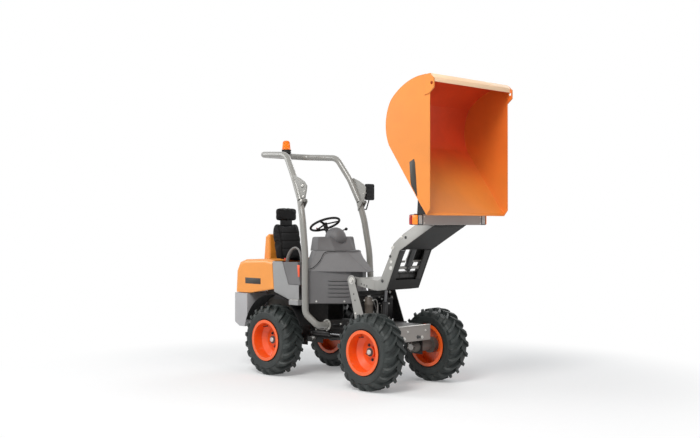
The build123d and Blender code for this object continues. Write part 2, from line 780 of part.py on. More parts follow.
# ---------------------------------------------------------------- boom posts
post_foot_z = front_top_z + seat_gap
post_outline = [  # x, z from the articulation pin and the ground, down to the deck
    (boom_hinge[0] - 62, boom_hinge[1] + 20),
    (340, post_foot_z),
    (490, post_foot_z),
    (boom_hinge[0] + 50, boom_hinge[1] - 20),
]
post_eye_radius = 58
boss_radius = 36
boss_gap = 6  # between a post's boss and the boom
boom_inner_y = boom_half_width - boom_plate
post_outer_y = post_inner_y + post_plate
with BuildPart() as boom_posts:
    plate(post_inner_y, post_outer_y, post_outline)
    bar(BOOM, post_inner_y, post_outer_y, post_eye_radius)
    bar(BOOM, boom_half_width + boss_gap, post_inner_y + 1, boss_radius)
    bar(BOOM, boom_inner_y - 10, post_outer_y + 8, hinge_pin_radius)
    mirror(about=Plane.XZ)
save(boom_posts, "boom_posts")

# ---------------------------------------------------------------- boom
boom_outline = [  # x, z from the boom hinge
    (0, 38),
    (361, 11),
    (389, 52),
    (542, 337),
    (556, 387),
    (692, 487),
    (852, 575),
    (1097, 575),
    (638, 319),
    (460, -75),
    (333, -91),
    (58, -53),
    (0, -38),
]
boom_eye_radius = 40
ear_inner_y = boom_half_width - 44
ear_eye_radius = 45
ear_outline = [  # x, z from the boom hinge
    (850, 520),
    (1030, 560),
    (skip_hinge[0] + ear_eye_radius, skip_hinge[1]),
    (skip_hinge[0] - ear_eye_radius, skip_hinge[1]),
]
lift_cheek_outline = [  # x, z from the boom hinge
    (190, 20),
    (190, -40),
    (205, -72),
    (245, -72),
    (260, -40),
    (260, 14),
]
CROSS_PLATES = [  # outlines from the boom hinge: over the tail, under the head, round the elbow
    [(60, 33.7), (361, 11), (361, 1), (60, 23.7)],
    [(660, 331), (1060, 554.4), (1052, 562), (655, 340)],
    [(460, -75), (333, -91), (333, -81), (452, -66), (492, 22), (503, 20)],
]
tip_pin_radius = 16
tie_bar_radius = 12
tie_bar = (418, 13)  # x, z from the boom hinge
hose_bar = (525, 207)  # x, z from the boom hinge, open at the middle for the tip cylinder
pin_bore_radius = hinge_pin_radius + pin_clearance
stub_start_y = eye_half_width + 6  # where the cylinder pins' ends stand beside the eyes
ear_pin_reach = 34
with BuildPart() as boom:
    plate(boom_inner_y, boom_half_width, boom_outline, BOOM)
    bar(BOOM, boom_inner_y, boom_half_width, boom_eye_radius)
    bar(BOOM, boom_inner_y - 1, boom_half_width + 1, pin_bore_radius, Mode.SUBTRACT)
    plate(ear_inner_y, boom_inner_y, ear_outline, BOOM)
    bar(SKIP, ear_inner_y, boom_inner_y, ear_eye_radius)
    bar(SKIP, ear_inner_y - ear_pin_reach, ear_inner_y + 1, hinge_pin_radius)
    # cheeks for the lift cylinder's rod pin, with a stub on each
    plate(cheek_inner_y, cheek_inner_y + cheek_plate, lift_cheek_outline, BOOM)
    bar(LIFT_ROD, stub_start_y, cheek_inner_y + 1, cylinder_pin_radius)
    bar(shifted(BOOM, hose_bar), cheek_inner_y, boom_inner_y + 1, tie_bar_radius)
    mirror(about=Plane.XZ)
    for outline in CROSS_PLATES:
        plate(*across(boom_inner_y), outline, BOOM)
    bar(TIP_BASE, *across(boom_inner_y), tip_pin_radius)
    bar(shifted(BOOM, tie_bar), *across(boom_inner_y), tie_bar_radius)
save(boom, "boom")

beam_x = (1079 - beam_size / 2, 1079 + beam_size / 2)  # from the boom hinge
beam_z = (575 + seat_gap, 575 + seat_gap + beam_size)  # above the boom hinge
beam_wall = 6
lamp_depth = 90
lamp_inner_y = beam_half_width - lamp_depth
with BuildPart() as head_beam:
    block(beam_x, across(lamp_inner_y), beam_z, BOOM)
    block((beam_x[0] + beam_wall, beam_x[1] - beam_wall), across(lamp_inner_y + 1),
          (beam_z[0] + beam_wall, beam_z[1] - beam_wall), BOOM, Mode.SUBTRACT)
save(head_beam, "head_beam")

with BuildPart() as head_lamps:
    block((beam_x[0] - 10, beam_x[1]), (lamp_inner_y + seat_gap, beam_half_width), beam_z, BOOM)
    mirror(about=Plane.XZ)
save(head_lamps, "head_lamps")

# ---------------------------------------------------------------- skip
SKIP_FLOOR = [(385, -163), (-89, 507)]  # x, z from the skip hinge, from the lip to the bend
SKIP_BACK = [(-89, 507), (-129, 730), (-63, 934)]
SKIP_CROWN = [(-63, 934), (98, 1060), (282, 1125)]
SKIP_TOP = [(282, 1125), (430, 1137)]
skip_mouth_x = 430  # the open side, from the skip hinge
lip_cut_z = -110  # where the side walls are cut back towards the lip
rim_outline = [  # x, z from the skip hinge, of the folded rim along the top of the mouth
    (skip_mouth_x - 6, 1136),
    (skip_mouth_x, 1137),
    (464, 1102),
    (464, 1060),
    (skip_mouth_x - 6, 1064),
]
ear_outline_skip = [  # x, z from the skip hinge
    (370, 1130),
    (430, 1135),
    (484, 1086),
    (484, 1000),
    (430, 955),
    (370, 940),
]
lifting_eye = (458, 1045)  # x, z from the skip hinge
hinge_plate_outline = [  # x, z from the skip hinge
    (367, -133),
    (60, 301),
    (0, 235),
    (-45, 15),
    (-10, -45),
    (50, -35),
]
tip_cheek_outline = [  # x, z from the skip hinge
    (191, 115),
    (-31, 429),
    (-15, 185),
    (45, 165),
]
hinge_plate_y = (ear_inner_y - 28, ear_inner_y - 8)
with BuildPart() as skip:
    with BuildSketch(Plane((SKIP[0], -skip_half_width, SKIP[1]), x_dir=(1, 0, 0), z_dir=(0, -1, 0))):
        with BuildLine():
            Polyline(*SKIP_FLOOR)
            ThreePointArc(*SKIP_BACK)
            ThreePointArc(*SKIP_CROWN)
            Polyline(*SKIP_TOP, (skip_mouth_x, lip_cut_z), SKIP_FLOOR[0])
        make_face()
    extrude(amount=2 * skip_half_width, dir=LEFT)
    mouth_faces = skip.faces().filter_by(lambda face: face.normal_at().X > 0.5).filter_by(
        lambda face: abs(face.center().Y) < 1)
    offset(amount=-skip_wall, openings=mouth_faces)
    plate(*across(skip_half_width), rim_outline, SKIP)
    for side in (-1, 1):
        ear_start = skip_half_width - skip_wall
        reach = sorted((side * ear_start, side * (ear_start + ear_plate)))
        plate(*reach, ear_outline_skip, SKIP)
        bar(shifted(SKIP, lifting_eye), reach[0] - 1, reach[1] + 1, lifting_eye_radius, Mode.SUBTRACT)
        plate(*sorted(side * y for y in hinge_plate_y), hinge_plate_outline, SKIP)
        plate(*sorted((side * cheek_inner_y, side * (cheek_inner_y + cheek_plate))), tip_cheek_outline, SKIP)
        bar(TIP_ROD, *sorted((side * stub_start_y, side * (cheek_inner_y + 1))), cylinder_pin_radius)
        bar(SKIP, *sorted((side * ear_inner_y, side * (hinge_plate_y[0] - 1))), pin_bore_radius,
            Mode.SUBTRACT)
save(skip, "skip")

# ---------------------------------------------------------------- cylinders
CYLINDERS = [  # name, base pin, rod pin, base pin's radius, stroke left to close
    ("lift", LIFT_BASE, LIFT_ROD, cylinder_pin_radius, lift_stroke),
    ("tip", TIP_BASE, TIP_ROD, tip_pin_radius, tip_stroke),
]
barrel_radius = 32
rod_radius = 17
eye_radius = 28
eye_neck = 6  # how far the barrel or rod runs into its eye
rod_space = 1
barrel_end_gap = 12  # between the closed barrel and the rod's eye
for name, base, rod_end, base_pin_radius, stroke in CYLINDERS:
    run = (rod_end[0] - base[0], rod_end[1] - base[1])
    length = hypot(*run)
    barrel_length = length - stroke - eye_radius - barrel_end_gap
    along = Plane((base[0], 0, base[1]), x_dir=LEFT, z_dir=(run[0], 0, run[1]))
    with BuildPart() as barrel:
        bar(base, *across(eye_half_width), eye_radius)
        with BuildSketch(along.offset(eye_radius - eye_neck)):
            Circle(barrel_radius)
        extrude(amount=barrel_length - eye_radius + eye_neck)
        with BuildSketch(along.offset(eye_radius + 20)):
            Circle(rod_radius + rod_space)
        extrude(amount=barrel_length, mode=Mode.SUBTRACT)
        bar(base, *across(eye_half_width + 20), base_pin_radius + pin_clearance, Mode.SUBTRACT)
    save(barrel, f"{name}_cylinder_barrel")
    rod_start = stroke + eye_radius + 24
    with BuildPart() as rod:
        bar(rod_end, *across(eye_half_width), eye_radius)
        with BuildSketch(along.offset(rod_start)):
            Circle(rod_radius)
        extrude(amount=length - rod_start - eye_radius + 8)
    save(rod, f"{name}_cylinder_rod")

steer_run = (steer_rod_pin[0] - steer_base_pin[0], steer_rod_pin[1] - steer_base_pin[1])
steer_length = hypot(*steer_run)
steer_along = Plane((PIN[0] + steer_base_pin[0], steer_base_pin[1], PIN[1] + steer_z),
                    x_dir=(0, 0, 1), z_dir=(*steer_run, 0))
steer_eye_z = (steer_z - 14, steer_z + 14)
steer_barrel_radius = 25
steer_rod_radius = 12
steer_rod_start = steer_stroke + 50
with BuildPart() as steer_barrel:
    stub(*steer_base_pin, *steer_eye_z, 24)
    with BuildSketch(steer_along.offset(20)):
        Circle(steer_barrel_radius)
    extrude(amount=steer_length - 2 * steer_stroke - 60)
    with BuildSketch(steer_along.offset(40)):
        Circle(steer_rod_radius + rod_space)
    extrude(amount=steer_length, mode=Mode.SUBTRACT)
    stub(*steer_base_pin, steer_eye_z[0] - 1, steer_eye_z[1] + 1, steer_pin_radius + pin_clearance,
         mode=Mode.SUBTRACT)
save(steer_barrel, "steer_cylinder_barrel")
with BuildPart() as steer_rod:
    stub(*steer_rod_pin, *steer_eye_z, 22)
    with BuildSketch(steer_along.offset(steer_rod_start)):
        Circle(steer_rod_radius)
    extrude(amount=steer_length - steer_rod_start - 18)
save(steer_rod, "steer_cylinder_rod")
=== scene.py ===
"""Site dumper: the seen pieces, finishes, light and camera around the fixed frame.

Everything is in metres in the frame's own axes, +X to the skip, +Y to the driver's left
and +Z up. Lengths written as x from the articulation pin go through `at`.
"""

import json
import logging
import math
from dataclasses import dataclass, field
from enum import Enum
from typing import Callable, Iterable, Mapping, Optional, Sequence, Union

import bmesh
import bpy
from mathutils import Matrix, Vector
from mathutils.bvhtree import BVHTree


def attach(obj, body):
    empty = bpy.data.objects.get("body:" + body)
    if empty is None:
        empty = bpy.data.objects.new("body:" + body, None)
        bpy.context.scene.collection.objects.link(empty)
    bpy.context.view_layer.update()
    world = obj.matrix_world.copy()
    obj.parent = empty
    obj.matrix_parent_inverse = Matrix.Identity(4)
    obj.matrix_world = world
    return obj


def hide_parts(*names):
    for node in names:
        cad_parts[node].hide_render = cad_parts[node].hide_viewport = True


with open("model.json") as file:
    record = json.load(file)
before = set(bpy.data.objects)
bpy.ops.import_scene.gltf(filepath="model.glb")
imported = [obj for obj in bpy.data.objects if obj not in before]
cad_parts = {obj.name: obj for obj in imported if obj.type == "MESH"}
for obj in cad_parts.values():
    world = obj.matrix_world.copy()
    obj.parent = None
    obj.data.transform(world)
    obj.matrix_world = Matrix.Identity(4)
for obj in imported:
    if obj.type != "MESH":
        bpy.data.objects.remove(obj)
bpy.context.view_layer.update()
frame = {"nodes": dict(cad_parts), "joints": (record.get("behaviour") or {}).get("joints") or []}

LOG = logging.getLogger("site_dumper")

Colour = tuple[float, float, float]
Number = Union[int, float]
Span = tuple[float, float]
Spot = tuple[float, float, float]
Outline = Sequence[tuple[float, float]]


def joint_place(name: str) -> Vector:
    """Where a joint of the frame, named as in the record, stands in metres."""
    found = next(joint for joint in frame["joints"] if joint["name"] == name)
    return Vector(found["pos_m"])


PIN_X = joint_place("articulation").x
SIDES = (-1, 1)  # the driver's right, then the left
SINK = 0.0005  # how deep the back of a fitted plate or boss lies in what carries it
BOLT_SINK = 0.0003  # the same for a bolt's back


def at(x: float, y: float, z: float) -> Vector:
    """The frame's place x ahead of the articulation pin, y to the driver's left and z over the ground."""
    return Vector((x + PIN_X, y, z))


def tone(red: int, green: int, blue: int) -> Colour:
    """A linear colour from the three 0 to 255 steps of a paint chart.

    Args:
        red: Red step.
        green: Green step.
        blue: Blue step.

    Returns:
        The linear colour that the shaders take.
    """
    def linear(step: int) -> float:
        """One channel without the chart's curve."""
        share = step / 255
        return share / 12.92 if share <= 0.04045 else ((share + 0.055) / 1.055) ** 2.4

    return (linear(red), linear(green), linear(blue))


def dimmed(colour: Colour, share: float) -> Colour:
    """A linear colour at a share of its light."""
    return (colour[0] * share, colour[1] * share, colour[2] * share)


# ---------------------------------------------------------------- shader expressions
class Field:
    """A value that varies over a surface. Arithmetic on it adds Math nodes."""

    def __init__(self, shader: "Shader", socket: bpy.types.NodeSocket) -> None:
        """Wraps one output socket of a shader."""
        self.shader = shader
        self.socket = socket

    def _math(self, operation: str, *values: Union["Field", Number]) -> "Field":
        """The result of a Math node's operation on these inputs in order."""
        inputs = dict(enumerate(values))
        return self.shader.value("ShaderNodeMath", {"operation": operation}, inputs, "Value")

    def __add__(self, other: Union["Field", Number]) -> "Field":
        """This plus another."""
        return self._math("ADD", self, other)

    def __radd__(self, other: Number) -> "Field":
        """A number plus this."""
        return self._math("ADD", other, self)

    def __sub__(self, other: Union["Field", Number]) -> "Field":
        """This less another."""
        return self._math("SUBTRACT", self, other)

    def __rsub__(self, other: Number) -> "Field":
        """A number less this."""
        return self._math("SUBTRACT", other, self)

    def __mul__(self, other: Union["Field", Number]) -> "Field":
        """This times another."""
        return self._math("MULTIPLY", self, other)

    def __rmul__(self, other: Number) -> "Field":
        """A number times this."""
        return self._math("MULTIPLY", other, self)

    def __truediv__(self, other: Union["Field", Number]) -> "Field":
        """This over another."""
        return self._math("DIVIDE", self, other)

    def __rtruediv__(self, other: Number) -> "Field":
        """A number over this."""
        return self._math("DIVIDE", other, self)

    def size(self) -> "Field":
        """The value without its sign."""
        return self._math("ABSOLUTE", self)

    def most(self, other: Union["Field", Number]) -> "Field":
        """The larger of this and another."""
        return self._math("MAXIMUM", self, other)

    def over(self, edge: Union["Field", Number]) -> "Field":
        """1 where this is over an edge, else 0."""
        return self._math("GREATER_THAN", self, edge)

    def step(self, low: float, high: float) -> "Field":
        """A soft step.

        Args:
            low: Where the step leaves 0.
            high: Where it reaches 1; below low, it falls instead.

        Returns:
            The step, from 0 to 1.
        """
        settings = {"interpolation_type": "SMOOTHSTEP", "clamp": True}
        ends = (low, high, 0.0, 1.0) if low < high else (high, low, 1.0, 0.0)
        inputs = {"Value": self, **dict(zip(("From Min", "From Max", "To Min", "To Max"), ends))}
        return self.shader.value("ShaderNodeMapRange", settings, inputs, "Result")


Input = Union[Field, Number, Sequence[float]]
Inputs = Mapping[Union[str, int], Input]


class Shader:
    """One material's node tree, with the fields that its expressions read."""

    def __init__(self, name: str, world: Optional[bpy.types.World] = None) -> None:
        """Starts an empty material, or empties a world's tree.

        Args:
            name: The material's name.
            world: The world, where the tree is a world's.
        """
        self.material = world or bpy.data.materials.new(name)
        self.material.use_nodes = True
        self.tree = self.material.node_tree
        self.tree.nodes.clear()
        self.place = self.value("ShaderNodeTexCoord", {}, {}, "Object")
        split = self.node("ShaderNodeSeparateXYZ", {}, {"Vector": self.place})
        self.x, self.y, self.z = (Field(self, split.outputs[axis]) for axis in "XYZ")

    def node(self, kind: str, settings: Mapping[str, object], inputs: Inputs) -> bpy.types.Node:
        """Adds any node.

        Args:
            kind: The node's type.
            settings: Its properties, set before its sockets.
            inputs: Values or fields by socket name or number.

        Returns:
            The node.
        """
        made = self.tree.nodes.new(kind)
        for key, setting in settings.items():
            setattr(made, key, setting)
        for key, given in inputs.items():
            socket = made.inputs[key]
            if isinstance(given, Field):
                self.tree.links.new(given.socket, socket)
            elif isinstance(given, (int, float)):
                socket.default_value = given
            else:
                wanted = len(socket.default_value)
                socket.default_value = tuple(given) + (1.0,) * (wanted - len(given))
        return made

    def value(self, kind: str, settings: Mapping[str, object], inputs: Inputs,
              output: Union[str, int]) -> Field:
        """One output of a new node, by name or number; the rest is as for `node`."""
        return Field(self, self.node(kind, settings, inputs).outputs[output])

    def vectors(self, operation: str, first: Input, second: Input, output: str = "Vector") -> Field:
        """The result of a Vector Math node; its output is Value where it is a number."""
        return self.value("ShaderNodeVectorMath", {"operation": operation}, {0: first, 1: second}, output)

    def stretched(self, scale: Sequence[float]) -> Field:
        """The place, each coordinate multiplied by its scale."""
        return self.vectors("MULTIPLY", self.place, scale)

    def outward(self) -> Field:
        """The way the plain surface looks, in the frame's axes."""
        return self.value("ShaderNodeTexCoord", {}, {}, "Normal")

    def part(self, vector: Field, axis: str) -> Field:
        """One of a vector's parts, X, Y or Z."""
        return self.value("ShaderNodeSeparateXYZ", {}, {0: vector}, axis)

    def clouds(self, scale: float, detail: float = 4.0, roughness: float = 0.55,
               where: Optional[Field] = None) -> Field:
        """Soft noise from 0 to 1, at so many blotches to the metre and octaves of detail."""
        inputs = {"Vector": where or self.place, "Scale": scale, "Detail": detail, "Roughness": roughness}
        return self.value("ShaderNodeTexNoise", {"noise_dimensions": "3D"}, inputs, "Fac")

    def cells(self, scale: float, where: Optional[Field] = None) -> Field:
        """Distance to the nearest of scattered points, so many to the metre, in cells."""
        inputs = {"Vector": where or self.place, "Scale": scale}
        return self.value("ShaderNodeTexVoronoi", {"feature": "F1"}, inputs, "Distance")

    def blend(self, share: Input, first: Input, second: Input) -> Field:
        """The first colour where the share is 0, the second where it is 1."""
        settings = {"data_type": "RGBA", "clamp_factor": True}
        return self.value("ShaderNodeMix", settings, {0: share, 6: first, 7: second}, 2)

    def mottled(self, share: Field, colour: Colour, low: float, high: float) -> Field:
        """A colour that varies between two shares of its light."""
        return self.blend(share, dimmed(colour, low), dimmed(colour, high))

    def edges(self, radius: float) -> tuple[Field, Field]:
        """Where the surface turns sharply, and its normal with the corners rounded.

        Args:
            radius: How far from a corner the rounding reaches.

        Returns:
            The edge mask, and the rounded normal.
        """
        rounded = self.value("ShaderNodeBevel", {"samples": 4}, {"Radius": radius}, "Normal")
        plain = self.value("ShaderNodeNewGeometry", {}, {}, "Normal")
        match = self.vectors("DOT_PRODUCT", rounded, plain, "Value")
        return (1 - match).step(0.02, 0.22), rounded

    def bump(self, height: Field, depth: float, normal: Optional[Field] = None) -> Field:
        """A bumped normal.

        Args:
            height: The relief, from 0 to 1.
            depth: The relief's depth in metres.
            normal: The normal it starts from.

        Returns:
            The normal.
        """
        inputs: dict[Union[str, int], Input] = {"Height": height, "Distance": depth, "Strength": 1.0}
        if normal is not None:
            inputs["Normal"] = normal
        return self.value("ShaderNodeBump", {}, inputs, "Normal")

    def close(self, inputs: Inputs) -> bpy.types.Material:
        """Ends the material with one principled surface.

        Args:
            inputs: The surface's values and fields.

        Returns:
            The material.
        """
        surface = self.node("ShaderNodeBsdfPrincipled", {}, inputs)
        self.node("ShaderNodeOutputMaterial", {}, {"Surface": Field(self, surface.outputs["BSDF"])})
        return self.material


# ---------------------------------------------------------------- finishes
EARTH: Colour = (0.24, 0.2, 0.16)
PALE_DUST: Colour = (0.3, 0.27, 0.23)


@dataclass(frozen=True)
class Paint:
    """Sprayed enamel on steel, with dust, chipped edges and a faint orange peel.

    Where a region is given, the second colour lies in it; every region given here is painted shade.
    """

    name: str
    colour: Colour
    slot: str
    roughness: float = 0.42
    coat: float = 0.25
    chips: float = 0.5
    dust: float = 0.12
    metal: Colour = (0.16, 0.13, 0.11)
    scuffs: float = 0.0
    rounding: float = 0.006
    peel: float = 0.0003
    second: Optional[Colour] = None
    region: Optional[Callable[["Shader"], "Field"]] = None
    second_coat: float = 1.0

    def make(self) -> bpy.types.Material:
        """Builds the material."""
        shader = Shader(self.name)
        edge, normal = shader.edges(self.rounding)
        blotches = shader.clouds(2.6, 5.0)
        fine = shader.clouds(38.0, 6.0, 0.7)
        speck = shader.clouds(190.0, 3.0, 0.8)
        base = shader.mottled(blotches.step(0.3, 0.75), self.colour, 0.93, 1.05)
        rough = self.roughness + blotches * 0.1
        coat = self.coat + blotches * 0.05
        if self.second is not None and self.region is not None:
            # The second colour in its region is painted shade, with less coat and more roughness where
            # second_coat is low.
            other = shader.mottled(blotches.step(0.3, 0.75), self.second, 0.88, 1.1)
            share = self.region(shader)
            base = shader.blend(share, base, other)
            coat = coat * (1 - share * (1 - self.second_coat))
            rough = rough + share * (0.25 * (1 - self.second_coat))
        dirt = (shader.z.step(1.3, 0.2) * 0.6 + 0.4) * fine.step(0.42, 0.78) * self.dust
        base = shader.blend(dirt, base, EARTH)
        chip = edge * (fine * 0.6 + speck * 0.6).step(0.66, 0.72) * self.chips
        rough = rough + dirt * 1.2
        if self.scuffs:
            drag = shader.clouds(9.0, 8.0, 0.75, shader.stretched((1.0, 9.0, 1.0)))
            scrape = drag.step(0.6, 0.74) * fine.step(0.3, 0.7) * self.scuffs
            base = shader.blend(scrape, base, dimmed(self.colour, 0.72))
            rough = rough + scrape * 0.25
        base = shader.blend(chip, base, self.metal)
        relief = shader.clouds(420.0, 2.0) * 0.5 + fine * 0.5 - chip * 0.6
        return shader.close({
            "Base Color": base,
            "Roughness": rough,
            "Metallic": chip * 0.6,
            "Coat Weight": coat * (1 - chip) * (1 - dirt),
            "Coat Roughness": 0.18,
            "Normal": shader.bump(relief, self.peel, normal),
        })


@dataclass(frozen=True)
class Moulding:
    """Moulded plastic with a fine leather-like grain, and edges lightened partly as rubbed wear, partly as
    painted highlight.
    """

    name: str
    colour: Colour
    slot: str
    roughness: float = 0.5
    grain: float = 900.0
    depth: float = 0.0004
    rub: float = 0.25
    rounding: float = 0.008
    gloss: float = 0.5

    def make(self) -> bpy.types.Material:
        """Builds the material."""
        shader = Shader(self.name)
        edge, normal = shader.edges(self.rounding)
        blotches = shader.clouds(3.5, 5.0)
        streaks = shader.clouds(22.0, 6.0, 0.7)
        grain = shader.cells(self.grain)
        base = shader.mottled(blotches.step(0.3, 0.7), self.colour, 0.9, 1.08)
        base = shader.blend(streaks.step(0.55, 0.85) * 0.18, base, PALE_DUST)
        # Lightened edges: rubbed plastic, and a painted highlight along the corners.
        base = shader.blend(edge * streaks.step(0.4, 0.6) * self.rub, base, dimmed(self.colour, 1.9))
        relief = grain.step(0.1, 0.6) * 0.7 + shader.clouds(160.0, 3.0) * 0.3
        return shader.close({
            "Base Color": base,
            "Roughness": self.roughness + (1 - grain) * 0.06 + blotches * 0.12,
            "Specular IOR Level": self.gloss,
            "Normal": shader.bump(relief, self.depth, normal),
        })


@dataclass(frozen=True)
class Rubber:
    """Tyre rubber: dark, faintly green, dusty in the grooves, and lightened on the lugs' edges partly as
    scuffs, partly as painted highlight.
    """

    name: str
    colour: Colour
    slot: str
    dust: Colour = (0.075, 0.07, 0.06)

    def make(self) -> bpy.types.Material:
        """Builds the material."""
        shader = Shader(self.name)
        edge, normal = shader.edges(0.004)
        blotches = shader.clouds(6.0, 6.0, 0.65)
        fine = shader.clouds(70.0, 6.0, 0.75)
        base = shader.mottled(blotches.step(0.3, 0.75), self.colour, 0.75, 1.35)
        base = shader.blend(fine.step(0.5, 0.85) * 0.45, base, self.dust)
        # The lightened edges are scuffs and a painted highlight on the lugs and wall beads.
        base = shader.blend(edge * blotches.step(0.35, 0.6) * 0.35, base, dimmed(self.colour, 2.6))
        relief = fine * 0.6 + shader.clouds(320.0, 2.0) * 0.4
        return shader.close({
            "Base Color": base,
            "Roughness": 0.42 + fine * 0.25,
            "Specular IOR Level": 0.4,
            "Normal": shader.bump(relief, 0.0009, normal),
        })


class MetalLook(Enum):
    """How a bare metal surface was left."""

    CHROME = 0.12
    SATIN = 0.34
    CAST = 0.6


@dataclass(frozen=True)
class Metal:
    """Bare or plated metal with fine turning marks, stains, and edges lightened partly as wear, partly as
    painted highlight.
    """

    name: str
    colour: Colour
    slot: str
    look: MetalLook = MetalLook.SATIN
    stain: float = 0.6

    def make(self) -> bpy.types.Material:
        """Builds the material."""
        shader = Shader(self.name)
        edge, normal = shader.edges(0.002)
        marks = shader.clouds(60.0, 5.0, 0.7, shader.stretched((1.0, 1.0, 14.0)))
        stains = shader.clouds(14.0, 6.0, 0.7)
        base = shader.blend(stains.step(0.45, 0.8) * self.stain, self.colour, dimmed(self.colour, 0.45))
        # Lightened edges: wear, and a painted highlight along the corners.
        base = shader.blend(edge * 0.5, base, dimmed(self.colour, 1.35))
        relief = marks * 0.5 + shader.clouds(240.0, 4.0, 0.8) * 0.5
        depth = 0.0012 if self.look is MetalLook.CAST else 0.0001
        return shader.close({
            "Base Color": base,
            "Metallic": 0.15 if self.look is MetalLook.CAST else 0.95,
            "Roughness": self.look.value + stains * (0.3 * self.stain) + marks * 0.06,
            "Normal": shader.bump(relief, depth, normal),
        })


@dataclass(frozen=True)
class Lens:
    """Clear coloured plastic over a lamp, with moulded flutes and a painted glow."""

    name: str
    colour: Colour
    slot: str
    flutes: float = 260.0
    clearness: float = 0.45
    relief: float = 0.0012
    glow: float = 0.0
    shine: float = 0.3

    def make(self) -> bpy.types.Material:
        """Builds the material."""
        shader = Shader(self.name)
        bands = shader.clouds(1.0, 0.0, 0.5, shader.stretched((self.flutes, self.flutes, 2.0)))
        glow = shader.clouds(26.0, 4.0)
        base = shader.blend(glow.step(0.3, 0.7), dimmed(self.colour, 0.7), self.colour)
        return shader.close({
            "Base Color": base,
            "Roughness": 0.12 + glow * 0.1,
            "Transmission Weight": self.clearness,
            "IOR": 1.49,
            "Coat Weight": self.shine * (0.8 + glow * 0.4),
            "Coat Roughness": 0.05,
            "Specular IOR Level": 0.2 + self.shine,
            # The emission is a painted glow, as if light shone through the lens.
            "Emission Color": base,
            "Emission Strength": self.glow,
            "Normal": shader.bump(bands, self.relief),
        })


@dataclass(frozen=True)
class Vinyl:
    """Soft black seat vinyl with a pebble grain, painted shade and sheen following the relief of its folds, and
    a painted sheen on the pebbles' crowns.
    """

    name: str
    colour: Colour
    slot: str

    def make(self) -> bpy.types.Material:
        """Builds the material."""
        shader = Shader(self.name)
        pebbles = shader.cells(420.0)
        folds = shader.clouds(18.0, 5.0, 0.6)
        # Darker where the folds' relief is low and lighter where it is high: painted shade and sheen.
        base = shader.mottled(folds.step(0.35, 0.75), self.colour, 0.7, 1.4)
        # The pebbles' lighter spots are a painted sheen.
        base = shader.blend(pebbles.step(0.5, 0.2) * 0.35, base, dimmed(self.colour, 2.2))
        return shader.close({
            "Base Color": base,
            "Roughness": 0.5 + folds * 0.2,
            "Specular IOR Level": 0.22,
            "Normal": shader.bump(pebbles.step(0.1, 0.6) * 0.6 + folds * 0.4, 0.0008),
        })


SKIP_HOLLOW = (1.285, 2.43)  # x from the articulation pin and z of the hollow's middle
SKIP_EDGE = 0.5815  # the skip's side edges begin this far from its middle


def inward(shader: Shader) -> Field:
    """Painted shade and redder bounced light inside the skip: how far its surface looks into the hollow, less
    on its lit floor and sides.

    Args:
        shader: The tree it is read in.

    Returns:
        The mask.
    """
    aside = shader.vectors("SUBTRACT", at(SKIP_HOLLOW[0], 0.0, SKIP_HOLLOW[1]), shader.place)
    facet = shader.outward()
    inside = shader.vectors("DOT_PRODUCT", aside, facet, "Value").over(0.0)
    # The floor and the side walls, where the lamps reach, get less of the painted shade.
    sideways = shader.part(facet, "Y").size().step(0.5, 0.9)
    low = shader.z.step(2.5, 1.95)
    edges = shader.y.size().over(SKIP_EDGE)
    return inside * (1 - edges) * (1 - low * 0.9 * (1 - sideways) - sideways * (0.58 + low * 0.2))


def within(half: float) -> Callable[[Shader], Field]:
    """A painted shade region: what lies between two upright planes along the machine.

    Args:
        half: Each plane's distance from the middle.

    Returns:
        The region's rule.
    """
    def region(shader: Shader) -> Field:
        """1 between the planes."""
        return 1 - shader.y.size().over(half)

    return region


TAIL_COVER_END = 0.6  # x from the articulation pin
BOOM_INSIDE = 0.2385  # half the width between the arms' outer faces, less their skin
# Cross bars inside the boom that are left out of its painted shade, where the light catches them.
UNSHADED_BARS = ((0.797, 1.200, 0.016), (0.800, 1.262, 0.012), (0.693, 1.068, 0.012))  # x, z, radius


def boom_dark(shader: Shader) -> Field:
    """Painted shade on the boom: 1 on its insides and underside ahead of the tail cover, whose upward faces
    stay lit, and off the cross bars that catch the light.

    Args:
        shader: The tree it is read in.

    Returns:
        The mask.
    """
    # Upward faces behind the tail cover's end are lit, and stay out of the painted shade.
    upward = shader.part(shader.outward(), "Z").over(0.9)
    bright = upward * (1 - shader.x.over(TAIL_COVER_END + PIN_X))
    for x, z, radius in UNSHADED_BARS:
        aside, above = shader.x - (x + PIN_X), shader.z - z
        bright = bright.most(1 - (aside * aside + above * above).over((radius + 0.001) ** 2))
    return (1 - shader.y.size().over(BOOM_INSIDE)) * (1 - bright)


ORANGE = tone(233, 146, 50)
SIGNAL = tone(238, 92, 22)
# Near-black painted shade for the boom's insides and underside and the posts' inner faces.
SHADE_BLACK = tone(17, 17, 17)
# The deeper red second colour is painted shade and bounced red light inside the skip's hollow.
SKIP_PAINT = Paint("orange skip enamel", tone(222, 132, 44), "skip_paint", 0.45, 0.2, 0.35, 0.05, scuffs=0.35,
                   second=tone(214, 66, 22), region=inward)
BONNET_PAINT = Paint("orange bonnet enamel", ORANGE, "bonnet_paint", 0.36, 0.35, 0.2, 0.06)
WHEEL_PAINT = Paint("red-orange wheel enamel", SIGNAL, "wheel_paint", 0.34, 0.3, 0.35, 0.08)
HOOP_PAINT = Paint("warm grey hoop enamel", tone(134, 133, 128), "hoop_paint", 0.26, 0.5, 0.12, 0.05,
                   rounding=0.002, peel=0.00006)
BOOM_PAINT = Paint("light grey boom enamel", tone(150, 149, 145), "boom_paint", 0.38, 0.3, 0.5, 0.14,
                   second=SHADE_BLACK, region=boom_dark, second_coat=0.1)
